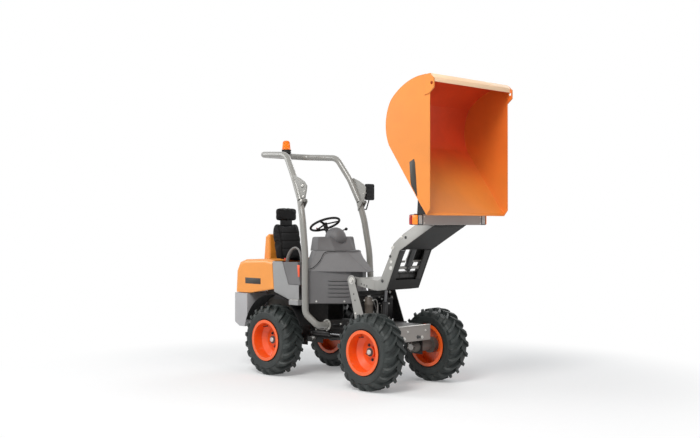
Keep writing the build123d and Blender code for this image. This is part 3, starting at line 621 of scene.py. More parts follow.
# The posts' faces between the planes, under the boom, take the near-black painted shade.
POST_PAINT = Paint("light grey post enamel", tone(150, 149, 145), "boom_paint", 0.38, 0.3, 0.5, 0.14,
                   second=SHADE_BLACK, region=within(0.2825), second_coat=0.1)
BEAM_PAINT = Paint("grey beam enamel", tone(156, 151, 148), "boom_paint", 0.4, 0.3, 0.5, 0.14)
FRAME_PAINT = Paint("black frame enamel", tone(26, 25, 25), "frame_paint", 0.5, 0.08, 0.5, 0.2)
WEIGHT_PAINT = Paint("grey casting enamel", tone(168, 167, 169), "weight_paint", 0.45, 0.2, 0.4, 0.1)
PLATE_PAINT = Paint("warm grey plate enamel", tone(142, 136, 131), "weight_paint", 0.42, 0.25, 0.6, 0.18)
CONSOLE_PLASTIC = Moulding("grey console moulding", tone(101, 100, 101), "console_plastic",
                           grain=1400.0, depth=0.00015)
DARK_PLASTIC = Moulding("black moulding", tone(15, 15, 16), "dark_plastic", 0.48, gloss=0.3)
PANEL_PLASTIC = Moulding("light grey panel moulding", tone(141, 141, 141), "panel_plastic", 0.45,
                         grain=1400.0, depth=0.00015)
TYRE_RUBBER = Rubber("tyre rubber", tone(38, 43, 42), "tyre")
SEAT_VINYL = Vinyl("black seat vinyl", tone(7, 7, 8), "seat_vinyl")
BARREL_PAINT = Paint("black cylinder enamel", tone(40, 40, 41), "cylinder_steel", 0.4, 0.3, 0.3, 0.15)
ROD_CHROME = Metal("chromed rod", (0.38, 0.38, 0.39), "cylinder_steel", MetalLook.CHROME, 0.3)
# The lift cylinder's chromed rod, darkened as painted shade for the shadow it stands in.
SHADED_ROD = Metal("chrome rod darkened as painted shade", (0.13, 0.13, 0.135), "cylinder_steel", MetalLook.CHROME, 0.3)
# Near-white enamel for small caps set where bright spots show: painted glints.
GLINT_WHITE_PAINT = Paint("white enamel for painted glints", tone(236, 236, 232), "weight_paint", 0.4, 0.2, 0.2, 0.05)
DARK_STEEL = Metal("blackened steel", (0.07, 0.07, 0.07), "cylinder_steel", MetalLook.CAST)
ZINC = Metal("zinc plate", (0.62, 0.61, 0.58), "cylinder_steel", MetalLook.SATIN)
CASTING = Metal("grey casting", tone(112, 108, 102), "cast_grey", MetalLook.CAST)
# The amber and beacon lenses carry a painted glow through their emission.
AMBER = Lens("amber lens", (1.0, 0.25, 0.004), "amber_lens", clearness=0.1, glow=0.3)
RED_LENS = Lens("red lens", (0.75, 0.02, 0.01), "amber_lens")
CLEAR_LENS = Lens("clear lens", (0.86, 0.86, 0.84), "amber_lens")
BRACKET_GREY = Moulding("mid grey moulding", tone(128, 126, 124), "console_plastic", 0.45)
SHIELD_PAINT = Paint("red-orange shield enamel", tone(238, 84, 36), "bonnet_paint", 0.4, 0.3, 0.2, 0.08)
SIGNAL_PLASTIC = Moulding("red moulding", tone(196, 40, 28), "dark_plastic", 0.4)
STRIPE_PAINT = Paint("dark stripe film", tone(40, 36, 30), "dark_plastic", 0.5, 0.2, 0.3, 0.1)
SEAM_PAINT = Paint("orange seam enamel", tone(230, 134, 46), "skip_paint", 0.42, 0.2, 0.5, 0.08)
# Cream on the folded rim's upward faces is a painted highlight where the light falls.
RIM_HIGHLIGHT_PAINT = Paint("pale rim enamel as painted highlight", tone(246, 208, 170), "skip_paint", 0.5, 0.1, 0.6, 0.08)
PIPE_STEEL = Metal("plated pipe", (0.45, 0.44, 0.42), "cylinder_steel", MetalLook.SATIN)
MIRROR_GLASS = Metal("mirror glass", (0.6, 0.62, 0.65), "cylinder_steel", MetalLook.CHROME, 0.08)
CAN_PAINT = Paint("brown-grey reservoir enamel", tone(92, 84, 76), "cast_grey", 0.45, 0.2, 0.3, 0.2)
MAT_RUBBER = Moulding("mat rubber", tone(30, 30, 31), "dark_plastic", 0.6, gloss=0.3)
HOSE_RUBBER = Moulding("hose rubber", tone(26, 26, 27), "dark_plastic", 0.55)
BEACON_LENS = Lens("beacon lens", (1.0, 0.2, 0.0), "amber_lens", 60.0, 0.0, 0.0002, 0.1, 0.05)
Finish = Union[Paint, Moulding, Rubber, Metal, Lens, Vinyl]


class Palette:
    """Makes each finish's material once, and lays it on pieces and frame nodes."""

    def __init__(self) -> None:
        """Starts with no material made."""
        self.made: dict[str, bpy.types.Material] = {}

    def material(self, finish: Finish) -> bpy.types.Material:
        """A finish's material.

        Args:
            finish: The finish.

        Returns:
            Its material, made at the first call.
        """
        if finish.name not in self.made:
            self.made[finish.name] = finish.make()
        return self.made[finish.name]

    def dress(self, piece: bpy.types.Object, finish: Finish) -> None:
        """Lays a finish on a piece.

        Args:
            piece: The mesh or curve.
            finish: What it is finished in.
        """
        piece.data.materials.clear()
        piece.data.materials.append(self.material(finish))

    def dress_nodes(self, names: Iterable[str], finish: Finish) -> None:
        """Lays a finish on frame nodes, which keep their shape.

        Args:
            names: The nodes.
            finish: What they are finished in.
        """
        for name in names:
            slots = frame["nodes"][name].data.materials
            slots.clear()
            slots.append(self.material(finish))
            LOG.info("node %s in %s", name, finish.name)


PALETTE = Palette()


# ---------------------------------------------------------------- mesh making
class Ride(Enum):
    """The frame body that a piece moves with."""

    REAR = "rear_chassis"
    BONNET = "bonnet_lid"
    WHEEL = "steering_wheel_body"
    ROPS = "rops_top"
    FRONT = "front_chassis"
    BOOM = "boom_arm"
    SKIP = "tipping_skip"
    LIFT_BARREL = "lift_barrel"
    TIP_BARREL = "tip_barrel"
    STEER_BARREL = "steer_barrel"
    FRONT_LEFT = "wheel_front_left"
    FRONT_RIGHT = "wheel_front_right"
    REAR_LEFT = "wheel_rear_left"
    REAR_RIGHT = "wheel_rear_right"


X_AXIS, Y_AXIS, Z_AXIS = Vector((1, 0, 0)), Vector((0, 1, 0)), Vector((0, 0, 1))


def facing(axis: Vector, place: Vector) -> Matrix:
    """The matrix from local axes at this place, Z along this axis, to the frame's."""
    turn = Z_AXIS.rotation_difference(axis.normalized()).to_matrix().to_4x4()
    return Matrix.Translation(place) @ turn


def smooth_line(points: Sequence[Vector], steps: int = 8) -> list[Vector]:
    """Points along a smooth curve through given points.

    Args:
        points: What the curve passes through.
        steps: Divisions of each span.

    Returns:
        The curve's points, ends included.
    """
    ends = [2 * points[0] - points[1], *points, 2 * points[-1] - points[-2]]
    line: list[Vector] = []
    for first, second, third, fourth in zip(ends, ends[1:], ends[2:], ends[3:]):
        for step in range(steps):
            t = step / steps
            line.append(0.5 * (2 * second + (third - first) * t
                               + (2 * first - 5 * second + 4 * third - fourth) * t * t
                               + (3 * second - first - 3 * third + fourth) * t ** 3))
    return [*line, points[-1].copy()]


def mirrored(points: Iterable[Vector]) -> list[Vector]:
    """Points reflected across the machine's middle plane."""
    return [Vector((point.x, -point.y, point.z)) for point in points]


def circling(turn: float) -> Vector:
    """The upright plane's direction at a turn from +X towards +Z, in radians."""
    return Vector((math.cos(turn), 0, math.sin(turn)))


def rectangle(half_width: float, half_height: float) -> list[tuple[float, float]]:
    """A rectangle's outline about zero."""
    return [(-half_width, -half_height), (half_width, -half_height), (half_width, half_height),
            (-half_width, half_height)]


def eased(start: float, slope: float) -> Callable[[float], float]:
    """A bar's radius factor that grows at both ends.

    Args:
        start: The factor at an end.
        slope: How fast it grows from there to 1.

    Returns:
        The factor by the share of the bar.
    """
    def factor(share: float) -> float:
        """The factor at this share."""
        return min(1.0, start + slope * min(share, 1 - share))

    return factor


def linked(name: str, data: bpy.types.ID) -> bpy.types.Object:
    """Puts a new object in the scene.

    Args:
        name: Its name.
        data: Its mesh, lamp or camera.

    Returns:
        The object.
    """
    made = bpy.data.objects.new(name, data)
    bpy.context.scene.collection.objects.link(made)
    return made


def subdivided(piece: bpy.types.Object, levels: int) -> None:
    """Adds subdivision to a piece."""
    rounding = piece.modifiers.new("rounding", "SUBSURF")
    rounding.levels = rounding.render_levels = levels


class Piece:
    """One visible piece in the making: forms are added to its mesh, then it is finished."""

    def __init__(self, name: str, ride: Ride, finish: Finish) -> None:
        """Starts an empty piece of this name and finish that moves with this body."""
        self.name, self.ride, self.finish = name, ride, finish
        self.mesh = bmesh.new()

    def skin(self, rings: Sequence[Sequence[Vector]], closed: bool, caps: bool) -> None:
        """Skins a row of rings.

        Args:
            rings: Rings of as many points each.
            closed: Whether the last ring joins the first.
            caps: Whether the end rings are filled.
        """
        made = [[self.mesh.verts.new(point) for point in ring] for ring in rings]
        count = len(made[0])
        pairs = list(zip(made, made[1:])) + ([(made[-1], made[0])] if closed else [])
        for low, high in pairs:
            for index in range(count):
                after = (index + 1) % count
                self.mesh.faces.new((low[index], low[after], high[after], high[index]))
        if caps and not closed:
            self.mesh.faces.new(reversed(made[0]))
            self.mesh.faces.new(made[-1])

    def sweep(self, points: Sequence[Vector], radius: float, sides: int = 14, closed: bool = False,
              swell: Optional[Callable[[float], float]] = None, flat: float = 1.0) -> "Piece":
        """A round bar or hose along a line.

        Args:
            points: The line.
            radius: Its radius.
            sides: Points round it.
            closed: Whether the line closes on itself.
            swell: Radius factor by the share of the line.
            flat: Factor across one way, for an oval bar.

        Returns:
            This piece.
        """
        count = len(points)
        tangents = []
        for index in range(count):
            before = points[index - 1] if closed or index else points[0]
            after = points[(index + 1) % count] if closed or index < count - 1 else points[-1]
            tangents.append((after - before).normalized())
        side = tangents[0].orthogonal().normalized()
        if abs(tangents[0].z) < 0.9:
            side = tangents[0].cross(Z_AXIS).normalized()
        rings = []
        for index, (point, tangent) in enumerate(zip(points, tangents)):
            side = (side - tangent * side.dot(tangent)).normalized()
            other = tangent.cross(side)
            size = radius * (swell(index / max(1, count - 1)) if swell else 1.0)
            rings.append([point + side * math.cos(turn) * size + other * math.sin(turn) * size * flat
                          for turn in (math.tau * step / sides for step in range(sides))])
        self.skin(rings, closed, True)
        return self

    def lathe(self, axis: Vector, place: Vector, profile: Outline, sides: int = 40,
              closed: bool = True) -> "Piece":
        """A turned form.

        Args:
            axis: Its axis.
            place: Where its local zero is.
            profile: Radius and height along the axis; a closed loop, or one from axis to axis.
            sides: Points round it.
            closed: Whether the profile is a loop off the axis.

        Returns:
            This piece.
        """
        frame_of = facing(axis, place)
        turns = [math.tau * step / sides for step in range(sides)]
        rings = [[frame_of @ Vector((r * math.cos(turn), r * math.sin(turn), h)) for turn in turns]
                 for r, h in profile]
        self.skin(rings, closed, not closed)
        return self

    def disc(self, axis: Vector, place: Vector, radius: float, height: float, chamfer: float = 0.002,
             sides: int = 32) -> "Piece":
        """A turned boss with chamfered edges, its back at this place, looking along this axis."""
        profile = [(radius, 0.0), (radius, height - chamfer), (radius - chamfer, height)]
        return self.lathe(axis, place, profile, sides, closed=False)

    def ring(self, axis: Vector, place: Vector, outer: float, inner: float, height: float,
             chamfer: float = 0.0015, sides: int = 36) -> "Piece":
        """A washer or collar.

        Args:
            axis: Where its face looks.
            place: The middle of its back.
            outer: Outer radius.
            inner: Inner radius.
            height: Its height.
            chamfer: Its broken edge.
            sides: Points round it.

        Returns:
            This piece.
        """
        profile = [(inner, 0.0), (outer, 0.0), (outer, height - chamfer), (outer - chamfer, height),
                   (inner + chamfer, height), (inner, height - chamfer)]
        return self.lathe(axis, place, profile, sides)

    def bolt(self, axis: Vector, place: Vector, radius: float = 0.011, turn: float = 0.2) -> "Piece":
        """A washer and a hexagon head with its chamfered corners.

        Args:
            axis: Where the head looks.
            place: Where it sits on the surface.
            radius: Across the head's corners, from the middle.
            turn: How far the head is turned.

        Returns:
            This piece.
        """
        self.disc(axis, place, radius * 1.42, radius * 0.28, radius * 0.08, 24)
        frame_of = facing(axis, place)
        rings = []
        corners = [turn + math.tau * step / 6 for step in range(6)]
        for size, height in ((1.0, 0.2), (1.0, 0.88), (0.86, 1.02), (0.8, 1.02), (0.74, 0.96)):
            rings.append([frame_of @ Vector((size * radius * math.cos(corner), size * radius * math.sin(corner),
                                             height * radius)) for corner in corners])
        self.skin(rings, False, True)
        return self

    def prism(self, axis: Vector, place: Vector, across: Vector, outline: Outline, height: float,
              bevel: float = 0.0) -> "Piece":
        """An outline drawn out along an axis, with bevelled edges.

        Args:
            axis: The way it is drawn out.
            place: The outline's zero.
            across: The outline's first axis; its second is axis x across.
            outline: The outline's points.
            height: How far it is drawn out.
            bevel: The edges' bevel.

        Returns:
            This piece.
        """
        up = axis.cross(across).normalized()
        rise = axis.normalized() * height
        low = [self.mesh.verts.new(place + across * a + up * b) for a, b in outline]
        high = [self.mesh.verts.new(place + across * a + up * b + rise) for a, b in outline]
        count = len(outline)
        faces = [self.mesh.faces.new((low[i], low[(i + 1) % count], high[(i + 1) % count], high[i]))
                 for i in range(count)]
        faces += [self.mesh.faces.new(reversed(low)), self.mesh.faces.new(high)]
        if bevel:
            edges = list({edge for face in faces for edge in face.edges})
            bmesh.ops.bevel(self.mesh, geom=edges, offset=bevel, segments=3, profile=0.5, affect="EDGES")
        return self

    def block(self, low: Vector, high: Vector, bevel: float = 0.003) -> "Piece":
        """A box with rounded edges between two corners.

        Args:
            low: Lowest corner.
            high: Highest corner.
            bevel: Its edges' bevel.

        Returns:
            This piece.
        """
        size = high - low
        outline = [(0, 0), (size.x, 0), (size.x, size.y), (0, size.y)]
        return self.prism(Z_AXIS, low, X_AXIS, outline, size.z, bevel)

    def plate_xz(self, y_low: float, y_high: float, outline: Outline, bevel: float = 0.002) -> "Piece":
        """An upright plate between two y, its outline in x from the articulation pin and z."""
        return self.prism(-Y_AXIS, Vector((PIN_X, y_high, 0)), X_AXIS, outline, y_high - y_low, bevel)

    def side_plates(self, near: float, far: float, outline: Outline, bevel: float = 0.002) -> "Piece":
        """The same upright plate on both sides.

        Args:
            near: Its inner face, from the middle.
            far: Its outer face, from the middle.
            outline: Its outline in x from the articulation pin and z.
            bevel: Its edges' bevel.

        Returns:
            This piece.
        """
        for side in SIDES:
            low, high = sorted((side * near, side * far))
            self.plate_xz(low, high, outline, bevel)
        return self

    def side_block(self, side: int, x: Span, y: Span, z: Span, bevel: float) -> "Piece":
        """A box on side 1 or -1, its x from the articulation pin, its y given for side 1."""
        low, high = sorted((side * y[0], side * y[1]))
        return self.block(at(x[0], low, z[0]), at(x[1], high, z[1]), bevel)

    def warp(self, move: Callable[[Vector], Vector]) -> "Piece":
        """Moves every point by a rule.

        Args:
            move: Gives each point's new place.

        Returns:
            This piece.
        """
        for vert in self.mesh.verts:
            vert.co = move(vert.co)
        return self

    def shape(self) -> bpy.types.Object:
        """Turns the forms into an object, not yet finished."""
        bmesh.ops.recalc_face_normals(self.mesh, faces=self.mesh.faces)
        data = bpy.data.meshes.new(self.name)
        self.mesh.to_mesh(data)
        self.mesh.free()
        return linked(self.name, data)

    def dress(self, piece: bpy.types.Object, replaces: Sequence[str], angle: float) -> None:
        """Finishes the shaped object and sets it on its body.

        Args:
            piece: The object.
            replaces: The frame nodes it stands for.
            angle: The angle up to which edges are shaded smooth.
        """
        soften(piece.data, angle)
        PALETTE.dress(piece, self.finish)
        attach(piece, self.ride.value)
        if replaces:
            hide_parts(*replaces)
        LOG.info("piece %s on %s: %d faces", self.name, self.ride.value, len(piece.data.polygons))

    def done(self, replaces: Sequence[str] = (), angle: float = 35.0) -> None:
        """Shapes the piece, finishes it and names the frame nodes that it stands for."""
        self.dress(self.shape(), replaces, angle)


def soften(data: bpy.types.Mesh, angle: float) -> None:
    """Shades a mesh smooth, with sharp edges where it turns more than an angle in degrees."""
    data.shade_smooth()
    data.set_sharp_from_angle(angle=math.radians(angle))


def finish_all(pieces: Iterable[Piece], angle: float = 35.0) -> None:
    """Finishes pieces that stand for no frame node, in order."""
    for piece in pieces:
        piece.done(angle=angle)


# ---------------------------------------------------------------- wheels
class Corner(Enum):
    """A wheel's place: its node ending, its body, its x and which side it is on."""

    FRONT_LEFT = ("front_left", Ride.FRONT_LEFT)
    FRONT_RIGHT = ("front_right", Ride.FRONT_RIGHT)
    REAR_LEFT = ("rear_left", Ride.REAR_LEFT)
    REAR_RIGHT = ("rear_right", Ride.REAR_RIGHT)

    @property
    def ending(self) -> str:
        """The ending of the wheel's names."""
        return self.value[0]

    @property
    def ride(self) -> Ride:
        """The wheel's body."""
        return self.value[1]

    @property
    def side(self) -> int:
        """1 on the driver's left, -1 on the right."""
        return 1 if "left" in self.ending else -1

    @property
    def hub(self) -> Vector:
        """The middle of the tyre."""
        return joint_place(f"wheel_{self.ending}_spin")


@dataclass
class Wheels:
    """Tyres with traction lugs, and the rims' hub nuts, caps and valves."""

    tyre_radius: float = 0.38
    carcass_radius: float = 0.353
    wall: Outline = ((0.1955, 0.108), (0.2225, 0.111), (0.229, 0.121), (0.238, 0.1255), (0.244, 0.1245),
                     (0.262, 0.1300), (0.285, 0.1318), (0.302, 0.1300), (0.3055, 0.1268), (0.322, 0.1225),
                     (0.337, 0.1140), (0.3455, 0.1000), (0.350, 0.0720), (0.352, 0.036))
    wall_beads: tuple[Spot, ...] = ((0.252, 0.1268, 0.0028), (0.2935, 0.1310, 0.0022))
    lugs: int = 20
    lug_half: float = 0.0155
    lug_steps: int = 9
    around: int = 120
    nut_circle: float = 0.078
    nuts: int = 5
    disc_inset: float = 0.02
    cap_radius: float = 0.043
    cap_base: float = 0.018
    valve_turn: float = 2.2
    valve_circle: float = 0.172
    valve: Outline = ((0.0055, -0.03), (0.0055, 0.012), (0.0035, 0.014), (0.0035, 0.03), (0.0042, 0.031),
                      (0.0042, 0.04), (0.003, 0.042))

    def carcass(self) -> list[tuple[float, float]]:
        """The tyre's section without lugs, radius and height, from one bead round to the other."""
        return [*self.wall, (self.carcass_radius, 0.0), *((r, -h) for r, h in reversed(self.wall))]

    def lug_line(self, share: float) -> tuple[float, float, float]:
        """Where a lug's middle runs.

        Args:
            share: 0 at the crown, 1 at its end low on the shoulder.

        Returns:
            The turn round the axle in radians, the height along it, and the lug's top radius.
        """
        turn = 0.30 * share ** 0.85
        height = -0.010 + 0.1405 * share if share < 0.86 else 0.1108 + 0.0205 * (share - 0.86) / 0.14
        drop = max(0.0, share - 0.62) / 0.38
        top = self.tyre_radius - 0.0005 - 0.022 * drop ** 2.2 - 0.016 * max(0.0, share - 0.86) / 0.14
        return turn, height, top

    def lug(self, piece: Piece, start: float, side: int) -> None:
        """Adds one curved lug.

        Args:
            piece: The tyre.
            start: Its crown's turn round the axle.
            side: Which half of the tread it is on.
        """
        rings = []
        for step in range(self.lug_steps + 1):
            share = step / self.lug_steps
            turn, height, top = self.lug_line(share)
            half = self.lug_half * (1.0 + 0.38 * share)
            foot = min(self.carcass_radius - 0.02 - 0.05 * max(0.0, share - 0.6), top - 0.02)
            ring = []
            for offset, radius in ((-1.30, foot), (-0.92, top - 0.004), (-0.80, top), (0.80, top),
                                   (0.92, top - 0.004), (1.30, foot)):
                angle = start - (turn + offset * half / self.tyre_radius)
                ring.append(Vector((radius * math.cos(angle), side * height, radius * math.sin(angle))))
            rings.append(ring)
        piece.skin(rings, False, True)

    def tyre(self, corner: Corner) -> None:
        """Builds one tyre.

        Args:
            corner: The wheel.
        """
        piece = Piece(f"tyre_{corner.ending}_treaded", corner.ride, TYRE_RUBBER)
        turns = [math.tau * step / self.around for step in range(self.around)]
        rings = [[Vector((r * math.cos(turn), h, r * math.sin(turn))) for turn in turns]
                 for r, h in self.carcass()]
        piece.skin(rings, True, False)
        for index in range(self.lugs):
            start = math.tau * index / self.lugs
            self.lug(piece, start, 1)
            self.lug(piece, start + math.pi / self.lugs, -1)
        for side in SIDES:
            for radius, height, thick in self.wall_beads:
                ring = [Vector((radius * math.cos(turn), side * (height - 0.001), radius * math.sin(turn)))
                        for turn in turns]
                piece.sweep(ring, thick, 6, closed=True)
        piece.warp(corner.hub.__add__)
        piece.done(replaces=(f"tyre_{corner.ending}",), angle=32)

    def hub(self, corner: Corner) -> None:
        """Builds one hub's nuts, cap and valve.

        Args:
            corner: The wheel.
        """
        out = Y_AXIS * corner.side
        face = corner.hub - out * self.disc_inset
        nuts = Piece(f"hub_nuts_{corner.ending}", corner.ride, DARK_STEEL)
        for index in range(self.nuts):
            turn = math.tau * (index - 0.25) / self.nuts
            place = face + circling(turn) * self.nut_circle
            nuts.disc(out, place, 0.0155, 0.004, 0.001, 20)
            nuts.bolt(out, place + out * 0.003, 0.0105, turn)
            nuts.disc(out, place + out * 0.012, 0.0052, 0.009, 0.0015, 12)
        nuts.done()
        cap = Piece(f"hub_cap_{corner.ending}", corner.ride, DARK_STEEL)
        top = corner.hub + out * self.cap_base
        wide = self.cap_radius
        dome = [(wide, 0.0), (wide, 0.004), (wide - 0.006, 0.009), (0.024, 0.011), (0.021, 0.016),
                (0.010, 0.018)]
        cap.lathe(out, top, dome, 36, closed=False)
        cap.done(angle=25)
        crown = Piece(f"hub_crown_{corner.ending}", corner.ride, ZINC)
        crown.disc(out, top + out * 0.008, 0.026, 0.0105, 0.003, 32)
        crown.done()
        valve = Piece(f"valve_{corner.ending}", corner.ride, DARK_STEEL)
        spot = corner.hub + circling(self.valve_turn) * self.valve_circle + out * 0.03
        valve.lathe(out, spot, self.valve, 16, closed=False)
        valve.done()

    def build(self) -> None:
        """Builds every wheel's pieces."""
        for corner in Corner:
            self.tyre(corner)
            self.hub(corner)


# ---------------------------------------------------------------- seating on the frame
TREES: dict[str, BVHTree] = {}


def surface(node: str) -> BVHTree:
    """A frame node's surface, ready to be searched.

    Args:
        node: The node.

    Returns:
        Its tree, made at the first call.
    """
    if node not in TREES:
        data = frame["nodes"][node].data
        TREES[node] = BVHTree.FromPolygons([vert.co for vert in data.vertices],
                                           [face.vertices[:] for face in data.polygons])
    return TREES[node]


def touch(node: str, start: Vector, aim: Vector) -> tuple[Vector, Vector]:
    """Where a straight line first meets a frame node.

    Args:
        node: The node.
        start: The line's start.
        aim: Its way.

    Returns:
        The place met and the surface's outward direction there.
    """
    place, normal, _, _ = surface(node).ray_cast(start, aim.normalized())
    if place is None:
        raise ValueError(f"the line from {start} misses {node}")
    return place, normal if normal.dot(aim) < 0 else -normal


# ---------------------------------------------------------------- seat
@dataclass
class Padding:
    """Inflates a closed form as a stuffed cover."""

    voxel: float = 0.006
    pressure: float = 4.0
    mass: float = 0.3
    quality: int = 5
    frames: int = 20
    reach: float = 0.022
    easing: int = 4

    def fill(self, piece: bpy.types.Object) -> None:
        """Remeshes and inflates a piece, and keeps the result.

        Args:
            piece: The closed form.
        """
        scene = bpy.context.scene
        remesh = piece.modifiers.new("weave", "REMESH")
        remesh.mode, remesh.voxel_size = "VOXEL", self.voxel
        self.bake(piece)
        rest = [vert.co.copy() for vert in piece.data.vertices]
        cloth = piece.modifiers.new("stuffing", "CLOTH")
        cloth.settings.use_pressure = True
        cloth.settings.uniform_pressure_force = self.pressure
        cloth.settings.quality = self.quality
        cloth.settings.mass = self.mass
        cloth.settings.effector_weights.gravity = 0.0
        cloth.point_cache.frame_start, cloth.point_cache.frame_end = 1, self.frames
        scene.frame_start, scene.frame_end = 1, self.frames
        for step in range(1, self.frames + 1):
            scene.frame_set(step)
        self.bake(piece)
        scene.frame_set(1)
        for vert, start in zip(piece.data.vertices, rest):
            moved = vert.co - start
            if moved.length > self.reach:
                vert.co = start + moved.normalized() * self.reach
        smooth = piece.modifiers.new("ease", "SMOOTH")
        smooth.factor, smooth.iterations = 0.5, self.easing
        self.bake(piece)

    def bake(self, piece: bpy.types.Object) -> None:
        """Turns what the piece shows now into its mesh.

        Args:
            piece: The piece.
        """
        shown = piece.evaluated_get(bpy.context.evaluated_depsgraph_get())
        data = bpy.data.meshes.new_from_object(shown)
        piece.modifiers.clear()
        piece.data = data


def dent(distance: float, width: float) -> float:
    """How deep a channel pulls this far from its middle: 1 there, 0 beyond its width."""
    share = max(0.0, 1.0 - abs(distance) / width)
    return share * share * (3 - 2 * share)


def crossed(rows: Outline) -> list[tuple[float, float]]:
    """A half section's points on the other side, in the order that goes on round it."""
    return [(-across, other) for across, other in reversed(rows)]


@dataclass
class Seat:
    """The cushion, the back and the headrest with their seams, the hip brackets and the shields."""

    axle_x: float = -0.75
    cushion_low: float = 1.0853
    cushion_top: float = 1.205
    cushion_half: float = 0.222
    cushion_panel: float = 0.150
    cushion_channels: tuple[float, ...] = (-0.215, -0.12, -0.02, 0.08)
    back_low: float = 1.2053
    back_shoulder: float = 1.56
    back_half: float = 0.2
    back_widths: tuple[Span, ...] = ((1.235, 0.92), (1.33, 0.98), (1.44, 1.0), (1.54, 0.98), (1.61, 0.94),
                                     (1.645, 0.84), (1.655, 0.70))
    back_panel: float = 0.136
    back_channels: tuple[float, ...] = (1.27, 1.36, 1.45, 1.54)
    head_half: float = 0.149
    head_low: float = 1.680
    head_high: float = 1.827
    channel: float = 0.012
    hip_y: float = 0.262
    hip_arch: Outline = ((-0.79, 1.14), (-0.775, 1.24), (-0.72, 1.335), (-0.64, 1.378), (-0.575, 1.35),
                         (-0.545, 1.27), (-0.545, 1.20))
    shield: Outline = ((-0.64, 1.03), (-0.535, 0.99), (-0.488, 0.93), (-0.484, 1.185), (-0.60, 1.20),
                       (-0.635, 1.17))
    padding: Padding = field(default_factory=Padding)

    def pad(self, node: str, rings: Sequence[Sequence[Vector]],
            sew: Callable[[Vector, Vector], Vector], low: Vector, high: Vector) -> None:
        """Inflates a closed form, sews its channels and keeps it in its space.

        Args:
            node: The frame node that the pad stands for.
            rings: The form's rings, end to end.
            sew: Moves a point, given it and its outward direction.
            low: Lowest corner of its space.
            high: Highest corner of its space.
        """
        form = Piece(f"{node}_padded", Ride.REAR, SEAT_VINYL)
        form.skin(rings, False, True)
        piece = form.shape()
        subdivided(piece, 2)
        self.padding.bake(piece)
        self.padding.fill(piece)
        moved = [sew(vert.co.copy(), vert.normal.copy()) for vert in piece.data.vertices]
        for vert, place in zip(piece.data.vertices, moved):
            vert.co = [min(max(place[axis], low[axis]), high[axis]) for axis in range(3)]
        subdivided(piece, 1)
        self.padding.bake(piece)
        form.dress(piece, (node,), 80)

    def cushion(self) -> None:
        """Builds the seat cushion with its thigh bolsters."""
        low, high, half = self.cushion_low, self.cushion_top, self.cushion_half
        rings = []
        for share in (0.0, 0.06, 0.3, 0.6, 0.86, 0.97, 1.0):
            x = self.axle_x - 0.33 + 0.465 * share
            pull = 0.78 if share in (0.0, 1.0) else 1.0
            crown = high - 0.018 - (0.03 if share == 1.0 else 0.0) - (0.02 if share == 0.0 else 0.0)
            base = low + 0.008 + (0.02 if share in (0.0, 1.0) else 0.0)
            right = [(-1.0, base), (-1.04, (base + crown) / 2), (-1.0, crown + 0.008), (-0.74, crown + 0.010),
                     (-0.6, crown - 0.016), (-0.3, crown - 0.022)]
            section = right + crossed(right)
            rings.append([at(x, y * half * pull, z) for y, z in section])

        def sew(place: Vector, normal: Vector) -> Vector:
            """Channels between the bolsters and across the middle."""
            if normal.z < 0.2:
                return place
            depth = 0.010 * dent(abs(place.y) - self.cushion_panel, self.channel)
            if abs(place.y) < self.cushion_panel:
                for x in self.cushion_channels:
                    depth += 0.006 * dent(place.x - at(self.axle_x + x, 0, 0).x, self.channel)
            return place - normal * depth

        self.pad("seat_cushion", rings, sew, at(self.axle_x - 0.34, -0.235, low),
                 at(self.axle_x + 0.15, 0.235, high - 0.0005))

    def back_line(self, z: float) -> tuple[float, float]:
        """The back's rear and front x at a height, from the rear axle."""
        share = (z - self.back_low) / (self.back_shoulder - self.back_low)
        if z <= self.back_shoulder:
            return -0.34 - 0.07 * share, -0.235 - 0.055 * share
        over = (z - self.back_shoulder) / 0.10
        return -0.41 + 0.02 * over, -0.29 - 0.035 * over

    def back(self) -> None:
        """Builds the backrest with its side bolsters and rounded shoulders."""
        rings = []
        for z, wide in ((self.back_low + 0.004, 0.80), *self.back_widths):
            rear, front = self.back_line(z)
            rear, front = rear + 0.016, front - 0.016
            half = self.back_half * wide
            deep = front - rear
            right = [(-1.0, rear + deep * 0.25), (-0.8, rear), (-0.4, rear)]
            left = [(1.02, rear + deep * 0.75), (0.86, front + 0.010), (0.66, front - 0.006),
                    (0.35, front - 0.016)]
            section = right + crossed(right) + left + crossed(left)
            rings.append([at(self.axle_x + x, y * half, z) for y, x in section])

        def sew(place: Vector, normal: Vector) -> Vector:
            """Channels beside the bolsters and across the back."""
            depth = 0.0
            if normal.x > 0.2 and place.z < 1.62:
                depth = 0.010 * dent(abs(place.y) - self.back_panel, self.channel)
                if abs(place.y) < self.back_panel:
                    for z in self.back_channels:
                        depth += 0.006 * dent(place.z - z, self.channel)
            depth += 0.0035 * dent(abs(normal.x + 0.35), 0.10)
            return place - normal * depth

        self.pad("seat_back", rings, sew, at(self.axle_x - 0.41, -0.21, self.back_low + 0.0005),
                 at(self.axle_x - 0.235, 0.21, 1.66))

    def head(self) -> None:
        """Builds the headrest, its inset face and its two posts."""
        rear, front = self.axle_x - 0.379, self.axle_x - 0.331
        low, high, half = self.head_low, self.head_high, self.head_half
        pulls = {0.0: 0.72, 0.05: 0.92, 0.5: 1.22, 0.95: 0.92, 1.0: 0.72}
        rings = []
        for share in (0.0, 0.05, 0.14, 0.5, 0.86, 0.95, 1.0):
            y = -half + 2 * half * share
            middle, tall = (low + high) / 2, (high - low) / 2 * pulls.get(share, 1.0)
            deep = (front - rear) / 2 * (0.6 if share in (0.0, 1.0) else 1.0)
            mid = (front + rear) / 2
            section = [(-0.7, -1.0), (-1.0, -0.75), (-1.0, 0.75), (-0.7, 1.0), (0.7, 1.0), (1.0, 0.75),
                       (1.0, -0.75), (0.7, -1.0)]
            rings.append([at(mid + x * deep, y, middle + z * tall) for x, z in section])

